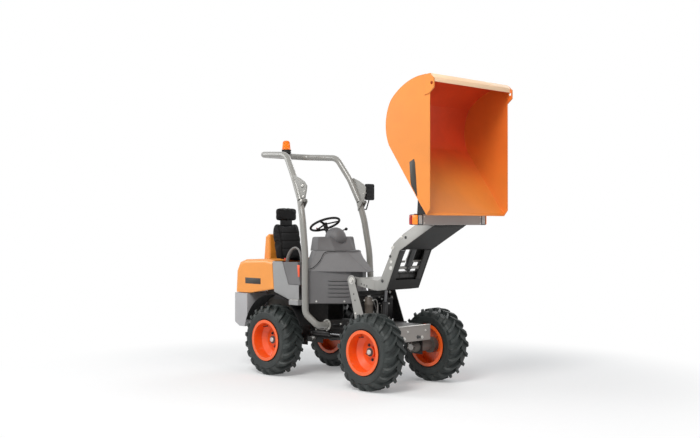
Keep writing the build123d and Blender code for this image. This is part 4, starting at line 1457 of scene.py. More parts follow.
        def sew(place: Vector, normal: Vector) -> Vector:
            """A seam round the inset front."""
            if normal.x < 0.3:
                return place
            frame_y, frame_z = abs(abs(place.y) - 0.118), abs(abs(place.z - 1.7535) - 0.043)
            inside = abs(place.y) < 0.124 and abs(place.z - 1.7535) < 0.049
            depth = 0.006 * max(dent(frame_y, 0.008), dent(frame_z, 0.008)) if inside else 0.0
            return place - normal * depth

        self.pad("headrest", rings, sew, at(rear - 0.006, -0.156, 1.674),
                 at(front + 0.006, 0.156, 1.832))
        posts = Piece("headrest_posts", Ride.REAR, DARK_STEEL)
        for y in (-0.06, 0.06):
            posts.sweep([at(self.axle_x - 0.355, y, z) for z in (1.645, 1.66, 1.675, 1.69, 1.70)], 0.006, 16)
            posts.ring(Z_AXIS, at(self.axle_x - 0.355, y, 1.657), 0.012, 0.0062, 0.008)
        posts.done()
        bracket = Piece("headrest_bracket", Ride.REAR, DARK_PLASTIC)
        bracket.block(at(self.axle_x - 0.371, -0.082, 1.625), at(self.axle_x - 0.341, 0.082, 1.695), 0.006)
        bracket.done()

    def fittings(self) -> None:
        """Builds the hip brackets and their joints, the bolted side shields and the belt's buckle."""
        bracket = Piece("belt_bracket", Ride.REAR, BRACKET_GREY)
        joints = Piece("bracket_joints", Ride.REAR, DARK_PLASTIC)
        shield = Piece("seat_side_shields", Ride.REAR, SHIELD_PAINT)
        shield.side_plates(0.262, 0.275, self.shield, 0.005)
        bolts = Piece("shield_bolts", Ride.REAR, DARK_STEEL)
        for side in SIDES:
            arch = [at(x, side * self.hip_y, z) for x, z in self.hip_arch]
            bracket.sweep(smooth_line(arch, 7), 0.019, 14, flat=0.55)
            for x, z in (self.hip_arch[0], self.hip_arch[-1]):
                joints.disc(Y_AXIS * side, at(x, side * 0.250, z), 0.030, 0.028, 0.006)
            for x, z in ((-0.60, 1.15), (-0.515, 1.02)):
                bolts.bolt(Y_AXIS * side, at(x, side * 0.2745, z), 0.008)
        bracket.done(angle=60)
        buckle = Piece("belt_buckle", Ride.REAR, SIGNAL_PLASTIC)
        buckle.block(at(-0.845, -0.252, 1.215), at(-0.815, -0.238, 1.262), 0.004)
        finish_all((joints, shield, bolts, buckle))

    def build(self) -> None:
        """Builds the whole seat."""
        self.cushion()
        self.back()
        self.head()
        self.fittings()


# ---------------------------------------------------------------- skip
@dataclass
class SkipTrim:
    """The skip's stripes, folded corners, rim with a painted highlight and worn lip."""

    half_width: float = 0.585
    seam_radius: float = 0.0045
    seam_start: float = -66.0
    seam_end: float = -296.0
    seam_steps: int = 61
    lip_z: float = 1.735
    fold: Outline = ((1.6532, 2.9452), (1.6562, 2.9452), (1.6562, 2.9868), (1.6230, 3.0238), (1.6210, 3.0220),
                     (1.6532, 2.9850))
    lip: Outline = ((-0.577, -0.020), (0.577, -0.020), (0.577, 0.012), (-0.577, 0.012))
    stripe: Outline = ((1.366, 2.218), (1.424, 2.246), (1.437, 2.210), (1.464, 1.896), (1.4585, 1.896),
                       (1.386, 2.000), (1.378, 2.060))

    def stripes(self) -> None:
        """Lays a plain dark stripe on each side."""
        piece = Piece("skip_stripes", Ride.SKIP, STRIPE_PAINT)
        piece.side_plates(self.half_width - SINK, self.half_width + 0.0012, self.stripe, 0.0004).done()

    def seams(self) -> None:
        """Rolls a welded corner along each side's outer edge."""
        piece = Piece("skip_corner_seams", Ride.SKIP, SEAM_PAINT)
        for side in SIDES:
            middle = at(SKIP_HOLLOW[0], side * (self.half_width - 0.003), SKIP_HOLLOW[1])
            line = []
            for step in range(self.seam_steps + 1):
                way = circling(math.radians(self.seam_start + (self.seam_end - self.seam_start) * step
                                            / self.seam_steps))
                line.append(touch("skip", middle + way * 2, -way)[0] - way * 0.001)
            piece.sweep(line, self.seam_radius, 10)
        piece.done(angle=60)

    def rim(self) -> None:
        """Lays a pale band on the folded rim as a painted highlight, and the worn strip along the lip."""
        band = Piece("skip_rim_band", Ride.SKIP, RIM_HIGHLIGHT_PAINT)
        band.plate_xz(-0.578, 0.578, self.fold, 0.0008).done()
        wear = Piece("skip_lip_strip", Ride.SKIP, SEAM_PAINT)
        start, normal = touch("skip", at(3.0, 0.0, self.lip_z), -X_AXIS)
        wear.prism(normal, start - normal * SINK, Y_AXIS, self.lip, 0.0025, 0.0008).done()

    def build(self) -> None:
        """Builds the skip's trim."""
        self.stripes()
        self.seams()
        self.rim()


# ---------------------------------------------------------------- head beam
@dataclass
class Lamps:
    """The two head lamps: a housing, a clear front lens and an amber and red end."""

    inner: float = 0.4335
    outer: float = 0.523
    back: float = 1.295
    front: float = 1.404
    low: float = 1.6305
    high: float = 1.7300

    def build(self) -> None:
        """Builds both lamps."""
        housing = Piece("lamp_housings", Ride.BOOM, DARK_PLASTIC)
        reflector = Piece("lamp_reflectors", Ride.BOOM, ZINC)
        clear = Piece("lamp_clear_lenses", Ride.BOOM, CLEAR_LENS)
        amber = Piece("lamp_amber_lenses", Ride.BOOM, AMBER)
        red = Piece("lamp_red_lenses", Ride.BOOM, RED_LENS)
        low, high, rim = self.low, self.high, (1.372, self.front)
        shell = (((self.back, 1.386), (self.inner, 0.507), (low, high), 0.007),
                 (rim, (self.inner, 0.447), (low, high), 0.004),
                 (rim, (0.4975, 0.507), (low, high), 0.003),
                 (rim, (0.440, 0.502), (low, low + 0.007), 0.003),
                 (rim, (0.440, 0.502), (high - 0.007, high), 0.003),
                 ((1.330, 1.356), (0.462, 0.488), (high - 0.002, high + 0.006), 0.002))
        end = (0.5065, self.outer), (low + 0.004, high - 0.004), 0.007
        for side in SIDES:
            for spans in shell:
                housing.side_block(side, *spans)
            bowl = at(1.388, side * 0.472, 1.684)
            reflector.side_block(side, (1.3855, 1.3885), (0.447, 0.498), (low + 0.006, high - 0.006), 0.001)
            reflector.ring(X_AXIS, bowl, 0.0235, 0.019, 0.008, 0.001)
            reflector.disc(X_AXIS, bowl, 0.007, 0.009, 0.002, 20)
            clear.side_block(side, (1.3985, 1.4025), (0.4465, 0.498), (low + 0.0065, high - 0.0065), 0.001)
            amber.side_block(side, (1.340, self.front), *end)
            red.side_block(side, (1.300, 1.338), *end)
        housing.done(["head_lamps"])
        bolts = Piece("lamp_bolts", Ride.BOOM, ZINC)
        for side in SIDES:
            for z in (1.65, 1.71):
                bolts.bolt(X_AXIS, at(1.4038, side * 0.418, z), 0.006)
        finish_all((reflector, clear, amber, red, bolts))


# ---------------------------------------------------------------- boom
@dataclass
class BoomTrim:
    """The boom's side doublers, flanges, drum, pin caps, bolts and hoses."""

    face: float = 0.24
    inside: float = 0.2255
    hinge: Span = (0.275, 1.055)
    doubler: Outline = ((291, -85), (333, -89), (459, -73), (636, 320), (1088, 571), (853, 571), (693, 484),
                        (559, 386), (545, 336), (391, 51), (363, 13), (291, 14))
    flange: Outline = ((459, -73), (636, 320), (626, 325), (449, -69))
    web: Outline = ((0.766, 1.272), (0.826, 1.384), (0.8295, 1.3825), (0.7695, 1.2705))
    side_bolts: tuple[Spot, ...] = ((0.681, 1.067, 0.012), (0.790, 1.318, 0.010), (1.000, 1.508, 0.010))
    plugs: Outline = ((0.375, 1.025), (0.417, 1.015), (0.455, 1.007))
    pin_caps: tuple[Spot, ...] = ((0.797, 1.200, 0.021), (0.80, 1.262, 0.016), (1.19, 1.885, 0.025))
    hose_rows: tuple[float, ...] = (0.130, 0.158, -0.140)
    hose_path: tuple[Spot, ...] = (
        (0.672, 1.0, 1.028), (0.651, 1.0, 1.075), (0.656, 1.0, 1.125), (0.690, 1.0, 1.185), (0.726, 1.0, 1.245),
        (0.764, 1.0, 1.318), (0.804, 1.0, 1.394), (0.86, 1.0, 1.434), (0.95, 0.85, 1.446), (1.04, 0.6, 1.500))

    def from_hinge(self, outline: Outline) -> list[tuple[float, float]]:
        """An outline in millimetres from the boom's hinge, in the frame's metres."""
        return [(self.hinge[0] + x / 1000, self.hinge[1] + z / 1000) for x, z in outline]

    def plates(self) -> None:
        """Lays a doubler on each arm."""
        piece = Piece("boom_doublers", Ride.BOOM, BOOM_PAINT)
        piece.side_plates(self.face - SINK, self.face + 0.003, self.from_hinge(self.doubler), 0.0008).done()

    def webs(self) -> None:
        """Closes each arm's front with a flange, and the gap under the head beam, in black as painted shade
        like the cross drum.
        """
        piece = Piece("boom_flanges", Ride.BOOM, FRAME_PAINT)
        flange = self.from_hinge(self.flange)
        for side in SIDES:
            for near, outline, bevel in ((0.152, flange, 0.0015), (0.052, self.web, 0.0008)):
                low, high = sorted((side * near, side * self.inside))
                piece.plate_xz(low, high, outline, bevel)
        piece.block(at(1.316, -0.2246, 1.603), at(1.345, 0.2246, 1.6298), 0.001)
        # The cross drum inside the boom is black as painted shade.
        drum = Piece("boom_cross_drum", Ride.BOOM, FRAME_PAINT)
        drum.disc(Y_AXIS, at(0.715, -self.inside, 1.115), 0.047, 0.451, 0.002, 56)
        for y in (-0.075, 0.068):
            drum.ring(Y_AXIS, at(0.715, y, 1.115), 0.0505, 0.046, 0.007, 0.0015, 56)
        finish_all((piece, drum))

    def hardware(self) -> None:
        """Sets the bolts, the pin caps and the plugged holes."""
        dark = Piece("boom_dark_bolts", Ride.BOOM, DARK_STEEL)
        bright = Piece("boom_pin_caps", Ride.BOOM, ZINC)
        for side in SIDES:
            out, plate, arm = Y_AXIS * side, side * (self.face + 0.0028), side * (self.face - SINK)
            for x, z, radius in self.side_bolts:
                dark.bolt(out, at(x, plate, z), radius)
            for x, z in self.plugs:
                dark.disc(out, at(x, arm, z), 0.0085, 0.0022, 0.0008, 20)
            bright.ring(out, at(0.825, plate, 1.402), 0.020, 0.009, 0.005)
            bright.bolt(out, at(0.825, plate, 1.402), 0.009)
            bright.bolt(out, at(0.944, plate, 1.508), 0.009)
            for x, z, radius in self.pin_caps:
                bright.disc(out, at(x, arm, z), radius, 0.006, 0.0015, 28)
        finish_all((dark, bright))

    def hoses(self) -> None:
        """Lays the hoses between the arms, clamped to them."""
        hose = Piece("boom_hoses", Ride.BOOM, HOSE_RUBBER)
        clamp = Piece("boom_hose_clamps", Ride.BOOM, ZINC)
        for index, y in enumerate(self.hose_rows):
            line = [at(x, y * share, z) for x, share, z in self.hose_path]
            hose.sweep(smooth_line(line, 8), 0.0095 - 0.001 * index, 12)
            for place, way in ((line[3], Vector((0.56, 0, 0.83))), (line[8], Vector((0.9, 0, 0.4)))):
                clamp.ring(way, place - way * 0.008, 0.0135, 0.009, 0.016)
        hose.done(angle=60)
        clamp.done()

    def build(self) -> None:
        """Builds the boom's trim."""
        self.plates()
        self.webs()
        self.hardware()
        self.hoses()


# ---------------------------------------------------------------- front chassis
@dataclass
class FrontTrim:
    """The posts' pins and plugs, the reservoir with its pipes, and the front plate's fittings."""

    axle_x: float = 0.75
    post_outer: float = 0.284
    post_inner: float = 0.272
    can_x: float = 0.375
    can_y: float = -0.13
    can_base: float = 0.6147
    can: Outline = ((0.050, 0.0), (0.050, 0.008), (0.0455, 0.012), (0.0445, 0.02), (0.0445, 0.185),
                    (0.0465, 0.19), (0.0465, 0.20), (0.0445, 0.205), (0.0445, 0.252), (0.038, 0.268),
                    (0.024, 0.274))
    near_pipe: tuple[Spot, ...] = ((0.0, 0.0, 0.0), (0.02, 0.02, 0.01), (0.022, 0.045, -0.04),
                                   (0.018, 0.05, -0.14), (0.015, 0.05, -0.236))
    far_pipe: tuple[Spot, ...] = ((-0.03, 0.03, 0.235), (-0.04, 0.07, 0.240), (-0.045, 0.12, 0.20),
                                  (-0.045, 0.16, 0.10), (-0.045, 0.165, 0.0))
    hose_loops: Outline = ((0.165, 0.905), (0.130, 0.875), (0.095, 0.845), (0.060, 0.80))
    plate_bolts: tuple[Spot, ...] = ((-0.157, 0.493, 0.013), (0.110, 0.493, 0.012), (-0.105, 0.560, 0.008),
                                     (0.160, 0.560, 0.008))
    plate_dark_bolts: tuple[Spot, ...] = ((0.045, 0.499, 0.013), (0.076, 0.499, 0.010),
                                          (-0.185, 0.510, 0.009))

    def posts(self) -> None:
        """Sets the post bolts, plugs and hinge caps, and the near-white inner caps that are painted glints."""
        dark = Piece("post_plugs", Ride.FRONT, DARK_STEEL)
        bright = Piece("post_pin_caps", Ride.FRONT, ZINC)
        pale = Piece("post_inner_glint_caps", Ride.FRONT, GLINT_WHITE_PAINT)
        for side in SIDES:
            out, inner = Y_AXIS * side, side * (self.post_inner + BOLT_SINK)
            for x, z in ((0.308, 0.919), (0.327, 0.855)):
                dark.disc(out, at(x, side * (self.post_outer - SINK), z), 0.009, 0.0022, 0.0008, 20)
            bright.ring(out, at(0.275, side * (self.post_outer - SINK), 1.055), 0.036, 0.0205, 0.0045)
            bright.disc(out, at(0.275, side * 0.2915, 1.055), 0.0195, 0.003, 0.001, 28)
            bright.bolt(out, at(0.3335, side * (self.post_outer - BOLT_SINK), 0.72), 0.009)
            # The inner caps are near-white as painted glints.
            pale.bolt(-out, at(0.293, inner, 0.914), 0.012)
            pale.disc(-out, at(0.322, inner, 0.862), 0.013, 0.012, 0.003, 24)
        finish_all((dark, bright, pale))

    def guard(self) -> None:
        """Bolts a ribbed guard between the posts."""
        sheet = Piece("post_guard", Ride.FRONT, FRAME_PAINT)
        low, high = Vector((0.3225, 0, 0.722)), Vector((0.2625, 0, 0.940))
        out = Vector((high.z - low.z, 0, low.x - high.x)).normalized()
        outline = [(corner.x + out.x * depth, corner.z + out.z * depth)
                   for corner, depth in ((low, 0), (low, 0.003), (high, 0.003), (high, 0))]
        sheet.plate_xz(-0.2725, 0.2725, outline, 0.0006)
        for share in (0.2, 0.5, 0.8):
            middle = low.lerp(high, share) + out * 0.0028
            sheet.sweep([at(middle.x, -0.215 + 0.43 * step / 10, middle.z) for step in range(11)], 0.007, 12,
                        swell=eased(0.3, 12.0), flat=0.6)
        sheet.done(angle=45)
        bolts = Piece("post_guard_bolts", Ride.FRONT, ZINC)
        for side in SIDES:
            for share in (0.12, 0.88):
                middle = low.lerp(high, share) + out * 0.0028
                bolts.bolt(out, at(middle.x, side * 0.252, middle.z), 0.007)
        bolts.done()

    def reservoir(self) -> None:
        """Builds the canister behind the posts, its cap and its short pipes."""
        base = at(self.can_x, self.can_y, self.can_base)
        can = Piece("reservoir", Ride.FRONT, CAN_PAINT)
        can.lathe(Z_AXIS, base, self.can, 44, closed=False).done(angle=30)
        cap = Piece("reservoir_fittings", Ride.FRONT, ZINC)
        cap.disc(Z_AXIS, base + Vector((0, 0, 0.272)), 0.017, 0.014, 0.003, 24)
        for turn in (0.4, 2.2, 4.1):
            way = Vector((math.cos(turn), math.sin(turn), 0))
            cap.disc(way, base + way * 0.042 + Vector((0, 0, 0.235)), 0.0095, 0.013, 0.002, 6)
        cap.ring(Z_AXIS, base + Vector((0, 0, 0.09)), 0.0475, 0.044, 0.014)
        cap.done()
        pipes = Piece("reservoir_pipes", Ride.FRONT, PIPE_STEEL)
        for start, bends in ((base + Vector((0.040, 0.02, 0.235)), self.near_pipe), (base, self.far_pipe)):
            pipes.sweep(smooth_line([start + Vector(bend) for bend in bends], 9), 0.0065, 12)
        pipes.done(angle=60)
        self.tank()

    def tank(self) -> None:
        """Builds the battery box, its lid and straps, and the hose loops behind it."""
        foot = self.can_base
        box = Piece("battery_box", Ride.FRONT, DARK_PLASTIC)
        box.block(at(0.288, 0.074, foot), at(0.410, 0.196, 0.842), 0.008)
        box.block(at(0.284, 0.070, 0.838), at(0.414, 0.200, 0.862), 0.006)
        for x in (0.318, 0.349, 0.380):
            box.block(at(x - 0.006, 0.071, 0.640), at(x + 0.006, 0.076, 0.820), 0.002)
        box.block(at(0.326, 0.100, 0.860), at(0.372, 0.170, 0.878), 0.005)
        fittings = Piece("battery_box_fittings", Ride.FRONT, ZINC)
        for y in (0.098, 0.172):
            fittings.disc(Z_AXIS, at(0.305, y, 0.861), 0.0095, 0.012, 0.003, 20)
        for z in (0.655, 0.805):
            fittings.bolt(X_AXIS, at(0.4098, 0.135, z), 0.007)
            fittings.bolt(-Y_AXIS, at(0.3335, 0.0742, z), 0.006)
        # Near-white caps on the box's sides are painted glints.
        latches = Piece("battery_box_glint_latches", Ride.FRONT, GLINT_WHITE_PAINT)
        for y, side in ((0.0702, -1), (0.1998, 1)):
            latches.disc(Y_AXIS * side, at(0.369, y, 0.853), 0.0115, 0.008, 0.003, 24)
        loops = Piece("front_hose_loops", Ride.FRONT, HOSE_RUBBER)
        ends = Piece("front_hose_ends", Ride.FRONT, ZINC)
        for index, (reach, top) in enumerate(self.hose_loops):
            x = 0.262 - 0.010 * index
            rise = [at(x, -reach, foot), at(x, -reach, foot + 0.10), at(x - 0.004, -reach * 0.92, top - 0.07),
                    at(x - 0.008, -reach * 0.5, top - 0.01)]
            line = [*rise, at(x - 0.010, 0.0, top), *mirrored(reversed(rise))]
            loops.sweep(smooth_line(line, 7), 0.0105, 12)
            for side in SIDES:
                ends.disc(Z_AXIS, at(x, side * reach, foot), 0.0145, 0.022, 0.003, 6)
        finish_all((box, fittings, latches))
        loops.done(angle=60)
        ends.done()

    def plate(self) -> None:
        """Dresses the front plate with its top lip and bolts."""
        lip = Piece("front_plate_lip", Ride.FRONT, ZINC)
        lip.block(at(0.862, -0.236, 0.6125), at(0.905, 0.236, 0.6175), 0.0015)
        bolts = Piece("front_plate_bolts", Ride.FRONT, ZINC)
        dark = Piece("front_plate_dark_bolts", Ride.FRONT, DARK_STEEL)
        for piece, rows in ((bolts, self.plate_bolts), (dark, self.plate_dark_bolts)):
            for y, z, radius in rows:
                piece.bolt(X_AXIS, at(0.8998, y, z), radius)
        finish_all((lip, bolts, dark))

    def motors(self) -> None:
        """Caps each wheel motor's inner end and sets its ports."""
        for ride, x, node in ((Ride.FRONT, self.axle_x, "front_wheel_motors"),
                              (Ride.REAR, -self.axle_x, "rear_wheel_motors")):
            caps = Piece(f"{node}_caps", ride, ZINC)
            ports = Piece(f"{node}_ports", ride, DARK_STEEL)
            for side in SIDES:
                place, normal = touch(node, at(x, side * 0.01, 0.38), Y_AXIS * side)
                caps.disc(normal, place - normal * SINK, 0.034, 0.007, 0.003, 32)
                for step in range(6):
                    turn = math.tau * step / 6 + 0.3
                    spot = place + Vector((math.cos(turn) * 0.043, 0, math.sin(turn) * 0.043))
                    caps.bolt(normal, spot, 0.0045)
                for offset in (-0.022, 0.022):
                    crown, up = touch(node, at(x + offset, side * 0.19, 0.9), -Z_AXIS)
                    if crown.z < 0.5:
                        ports.disc(up, crown - up * 0.002, 0.010, 0.014, 0.002, 6)
            finish_all((caps, ports))

    def build(self) -> None:
        """Builds the front chassis's trim."""
        self.posts()
        self.guard()
        self.reservoir()
        self.plate()
        self.motors()


# ---------------------------------------------------------------- hoop, mirror and beacon
@dataclass
class HoopTrim:
    """The hoop's fold bolts and pins, its feet, the mirror's glass, and the fluted beacon."""

    fold: Span = (-0.29, 1.89)
    lug_bolts: tuple[Spot, ...] = ((-0.306, 2.052, 0.013), (-0.298, 1.935, 0.012))
    foot: Spot = (-0.120, 0.2622, 0.572)
    bedding: float = 0.0002
    beacon_base: Spot = (-1.15, 0.04, 2.4998)
    lens_radius: float = 0.05
    lens_taper: float = 0.0075
    flutes: int = 20
    flute_depth: float = 0.0026
    bulb: Outline = ((0.030, 0.0), (0.030, 0.006), (0.012, 0.012), (0.012, 0.060), (0.018, 0.066),
                     (0.006, 0.080))

    def folds(self) -> None:
        """Sets the bolts, the locking pins and the hinge pins."""
        bright = Piece("hoop_lug_bolts", Ride.ROPS, ZINC)
        pins = Piece("hoop_lock_pins", Ride.ROPS, ZINC)
        hinge = Piece("hoop_hinge_caps", Ride.REAR, ZINC)
        pads = Piece("hoop_lug_pads", Ride.ROPS, DARK_STEEL)
        for side in SIDES:
            for x, z, radius in self.lug_bolts:
                place, normal = touch("rops_hoop", at(x, side * 1.0, z), -Y_AXIS * side)
                bright.bolt(normal, place - normal * self.bedding, radius)
                pads.ring(normal, place - normal * 0.0004, radius * 1.9, radius * 1.3, 0.002, 0.0005)
            place, normal = touch("rops_hoop", at(-0.278, side * 1.0, 1.985), -Y_AXIS * side)
            crank = place + normal * 0.012
            line = [place - normal * 0.014, place + normal * 0.008, crank + Vector((0.006, 0, 0.002)),
                    crank + Vector((0.020, 0, 0.008))]
            pins.sweep(smooth_line(line, 6), 0.0048, 12)
            pins.disc(normal, place - normal * self.bedding, 0.011, 0.003, 0.001, 20)
            end, out = touch("rops_uprights", at(self.fold[0], side * 1.0, self.fold[1]), -Y_AXIS * side)
            hinge.bolt(out, end - out * self.bedding, 0.012)
        finish_all((bright, pads, pins, hinge), 50)

    def feet(self) -> None:
        """Bolts a round flange to the frame's bracket at each upright's foot."""
        flanges = Piece("hoop_foot_flanges", Ride.REAR, HOOP_PAINT)
        bolts = Piece("hoop_foot_bolts", Ride.REAR, ZINC)
        for side in SIDES:
            foot = at(self.foot[0], side * self.foot[1], self.foot[2])
            out = Y_AXIS * side
            flanges.ring(out, foot, 0.060, 0.0352, 0.009)
            for step in range(4):
                spot = foot + circling(math.radians(45 + 90 * step)) * 0.049
                bolts.bolt(out, spot + out * 0.0088, 0.0075)
        finish_all((flanges, bolts), 50)

    def mirror(self) -> None:
        """Sets the mirror's glass and its rim."""
        glass = Piece("mirror_glass", Ride.REAR, MIRROR_GLASS)
        outline = self.rounded(0.051, 0.082, 0.016)
        glass.prism(-X_AXIS, at(-0.3078, 0.545, 2.005), Y_AXIS, outline, 0.0018, 0.0006)
        rim = Piece("mirror_ribs", Ride.REAR, DARK_PLASTIC)
        for z in (1.955, 2.005, 2.055):
            rim.block(at(-0.2725, 0.500, z - 0.004), at(-0.2695, 0.590, z + 0.004), 0.0013)
        finish_all((glass, rim))

    def rounded(self, half_width: float, half_height: float, radius: float) -> list[tuple[float, float]]:
        """A rectangle's outline with round corners, about zero.

        Args:
            half_width: Half its width.
            half_height: Half its height.
            radius: Its corners' radius.

        Returns:
            The outline.
        """
        outline = []
        for turn, x, y in ((0, 1, 1), (90, -1, 1), (180, -1, -1), (270, 1, -1)):
            for step in range(5):
                way = math.radians(turn + 22.5 * step)
                outline.append((x * (half_width - radius) + radius * math.cos(way),
                                y * (half_height - radius) + radius * math.sin(way)))
        return outline

    def beacon(self) -> None:
        """Turns the fluted lens, its dome and its base ring."""
        base = at(*self.beacon_base)
        lens = Piece("beacon_fluted_lens", Ride.ROPS, BEACON_LENS)
        low, high = self.lens_radius, self.lens_radius - self.lens_taper
        rows = [(low * 0.98, 0.0), (low, 0.003), (low, 0.010), (low * 0.965, 0.014)]
        rows += [(low + (high - low) * share - 0.001, 0.014 + 0.076 * share) for share in
                 (0.02, 0.2, 0.4, 0.6, 0.8, 1.0)]
        rows += [(high - 0.002, 0.094), (high - 0.008, 0.104), (high - 0.020, 0.1105), (0.010, 0.1118)]
        lens.lathe(Z_AXIS, base, rows, 120, closed=False)

        def flute(place: Vector) -> Vector:
            """Presses the flutes in between the lens's rims."""
            height = place.z - base.z
            aside = Vector((place.x - base.x, place.y - base.y, 0))
            if not 0.0145 < height < 0.093 or aside.length < 0.02:
                return place
            wave = 0.5 - 0.5 * math.cos(math.atan2(aside.y, aside.x) * self.flutes)
            return place - aside.normalized() * self.flute_depth * wave

        lens.warp(flute)
        lens.done(["beacon_lens"], angle=50)
        clamp = Piece("beacon_clamp", Ride.ROPS, DARK_PLASTIC)
        clamp.ring(Z_AXIS, base - Vector((0, 0, 0.004)), 0.0535, 0.0502, 0.010)
        for step in range(3):
            turn = math.tau * step / 3 + 0.5
            spot = base + Vector((math.cos(turn), math.sin(turn), 0)) * 0.054
            clamp.block(spot - Vector((0.005, 0.005, 0.008)), spot + Vector((0.005, 0.005, 0.004)), 0.001)
        bulb = Piece("beacon_reflector", Ride.ROPS, ZINC)
        bulb.lathe(Z_AXIS, base + Vector((0, 0, 0.002)), self.bulb, 28, closed=False)
        finish_all((clamp, bulb))

    def build(self) -> None:
        """Builds the hoop's trim."""
        self.folds()
        self.feet()
        self.mirror()
        self.beacon()


# ---------------------------------------------------------------- console
@dataclass
class Console:
    """The console's seam, ribs, bolts, lever, gauges and the wheel's cap."""

    seam: tuple[Spot, ...] = (
        (0.0, 0.0, 1.350), (-0.004, -0.060, 1.350), (-0.014, -0.104, 1.350), (-0.045, -0.146, 1.350),
        (-0.078, -0.188, 1.350), (-0.110, -0.219, 1.350), (-0.140, -0.250, 1.346), (-0.160, -0.276, 1.327),
        (-0.168, -0.308, 1.268), (-0.178, -0.335, 1.232), (-0.190, -0.358, 1.204), (-0.208, -0.384, 1.180),
        (-0.232, -0.410, 1.162))
    ribs: tuple[float, ...] = (1.044, 1.003, 0.963, 0.919, 0.877)
    edge_bolts: Outline = ((-0.170, 0.372), (0.041, 0.163))
    lever: tuple[Spot, ...] = ((-0.330, 0.150, 1.500), (-0.340, 0.150, 1.530), (-0.342, 0.150, 1.556),
                               (-0.312, 0.150, 1.573), (-0.268, 0.150, 1.584))
    knob: Outline = ((0.008, 0.0), (0.013, 0.005), (0.0165, 0.014), (0.0155, 0.026), (0.009, 0.034),
                     (0.002, 0.036))
    wheel_cap: Outline = ((0.026, 0.0), (0.027, 0.004), (0.022, 0.010), (0.004, 0.012))

    def laid(self, node: str, points: Iterable[Vector], lift: float) -> list[Vector]:
        """Points moved onto a node's surface.

        Args:
            node: The node.
            points: Points near it.
            lift: How far they then stand off it.

        Returns:
            The moved points.
        """
        line = []
        for point in points:
            place, normal, _, _ = surface(node).find_nearest(point)
            if normal.dot(point - at(-0.15, 0, point.z)) < 0:
                normal = -normal
            line.append(place + normal * lift)
        return line

    def seams(self) -> None:
        """Draws the hood's seam, its rolled lip and the louvre ribs; the dark seam strip and the dark strips
        under the ribs are painted shade.
        """
        near = [at(*point) for point in self.seam]
        whole = mirrored(reversed(near[1:])) + near
        # A dark strip along the seam stands for the shade in the step between the tower and the lower shell.
        gap = Piece("console_seam_shade", Ride.REAR, DARK_PLASTIC)
        gap.sweep(self.laid("console_hood", smooth_line(whole, 4), -0.0004), 0.0044, 10)
        lip = Piece("console_lip", Ride.REAR, CONSOLE_PLASTIC)
        lower = [point + Vector((0.006, 0.0, -0.0115)) for point in whole]
        lip.sweep(self.laid("console_hood", smooth_line(lower, 4), 0.0008), 0.0052, 12)
        ribs = Piece("console_ribs", Ride.REAR, CONSOLE_PLASTIC)
        slots = Piece("console_rib_slot_shade", Ride.REAR, DARK_PLASTIC)
        for z in self.ribs:
            for side in SIDES:
                line = [at(-0.085 + 0.17 * step / 10, side * (-0.287 + 0.166 * step / 10), z)
                        for step in range(11)]
                ribs.sweep(self.laid("console_lower", line, 0.0012), 0.0075, 14, swell=eased(0.25, 6.0))
                # A dark strip under each rib stands for the shade in the slot beneath it.
                under = [point - Vector((0, 0, 0.0098)) for point in line]
                slots.sweep(self.laid("console_lower", under, -0.0006), 0.0030, 10, swell=eased(0.25, 6.0))
        finish_all((gap, lip, ribs, slots), 60)

    def bolts(self) -> None:
        """Sets the console's edge bolts."""
        bolts = Piece("console_bolts", Ride.REAR, ZINC)
        for side in SIDES:
            for x, y in self.edge_bolts:
                aim = Vector((-0.707, -0.707 * side, 0))
                place, normal = touch("console_lower", at(x, side * y, 0.822) - aim, aim)
                bolts.bolt(normal, place - normal * BOLT_SINK, 0.007)
        bolts.done()

    def controls(self) -> None:
        """Adds the lever, the wheel's cap, the stalk and the starter key."""
        rods = Piece("lever_rods", Ride.REAR, DARK_STEEL)
        knobs = Piece("lever_knobs", Ride.REAR, DARK_PLASTIC)
        line = [at(*spot) for spot in self.lever]
        rods.sweep(smooth_line(line, 6), 0.0068, 12)
        grip = line[-1] - line[2]
        knobs.lathe(grip, line[-1] - grip.normalized() * 0.008, self.knob, 24, closed=False)
        knobs.ring(Z_AXIS, line[0] + Vector((0, 0, 0.003)), 0.022, 0.008, 0.010, 0.003)
        column = Vector((-0.423, 0, 0.906)).normalized()
        hub = at(-0.441, 0.0, 1.640)
        cap = Piece("wheel_cap", Ride.WHEEL, DARK_PLASTIC)
        cap.lathe(column, hub + column * 0.0045, self.wheel_cap, 36, closed=False)
        trim = Piece("wheel_cap_ring", Ride.WHEEL, ZINC)
        trim.ring(column, hub + column * 0.0075, 0.0285, 0.0262, 0.004, 0.001)

        def thicker(share: float) -> float:
            """The stalk's radius factor, larger towards its tip."""
            return 0.8 + 0.6 * share

        stalk = Piece("indicator_stalk", Ride.REAR, DARK_PLASTIC)
        root = at(-0.410, 0.0, 1.5735)
        bends = [root, root + Vector((0.01, -0.05, 0.0)), root + Vector((0.0, -0.11, 0.012)),
                 root + Vector((-0.005, -0.15, 0.022))]
        stalk.sweep(smooth_line(bends, 6), 0.0055, 12, swell=thicker)
        key = Piece("starter_key", Ride.REAR, SIGNAL_PLASTIC)
        key.block(root + Vector((-0.004, -0.156, 0.018)), root + Vector((0.002, -0.148, 0.030)), 0.0015)
        rods.done(angle=60)
        finish_all((knobs, cap, trim))
        stalk.done(angle=60)
        key.done()

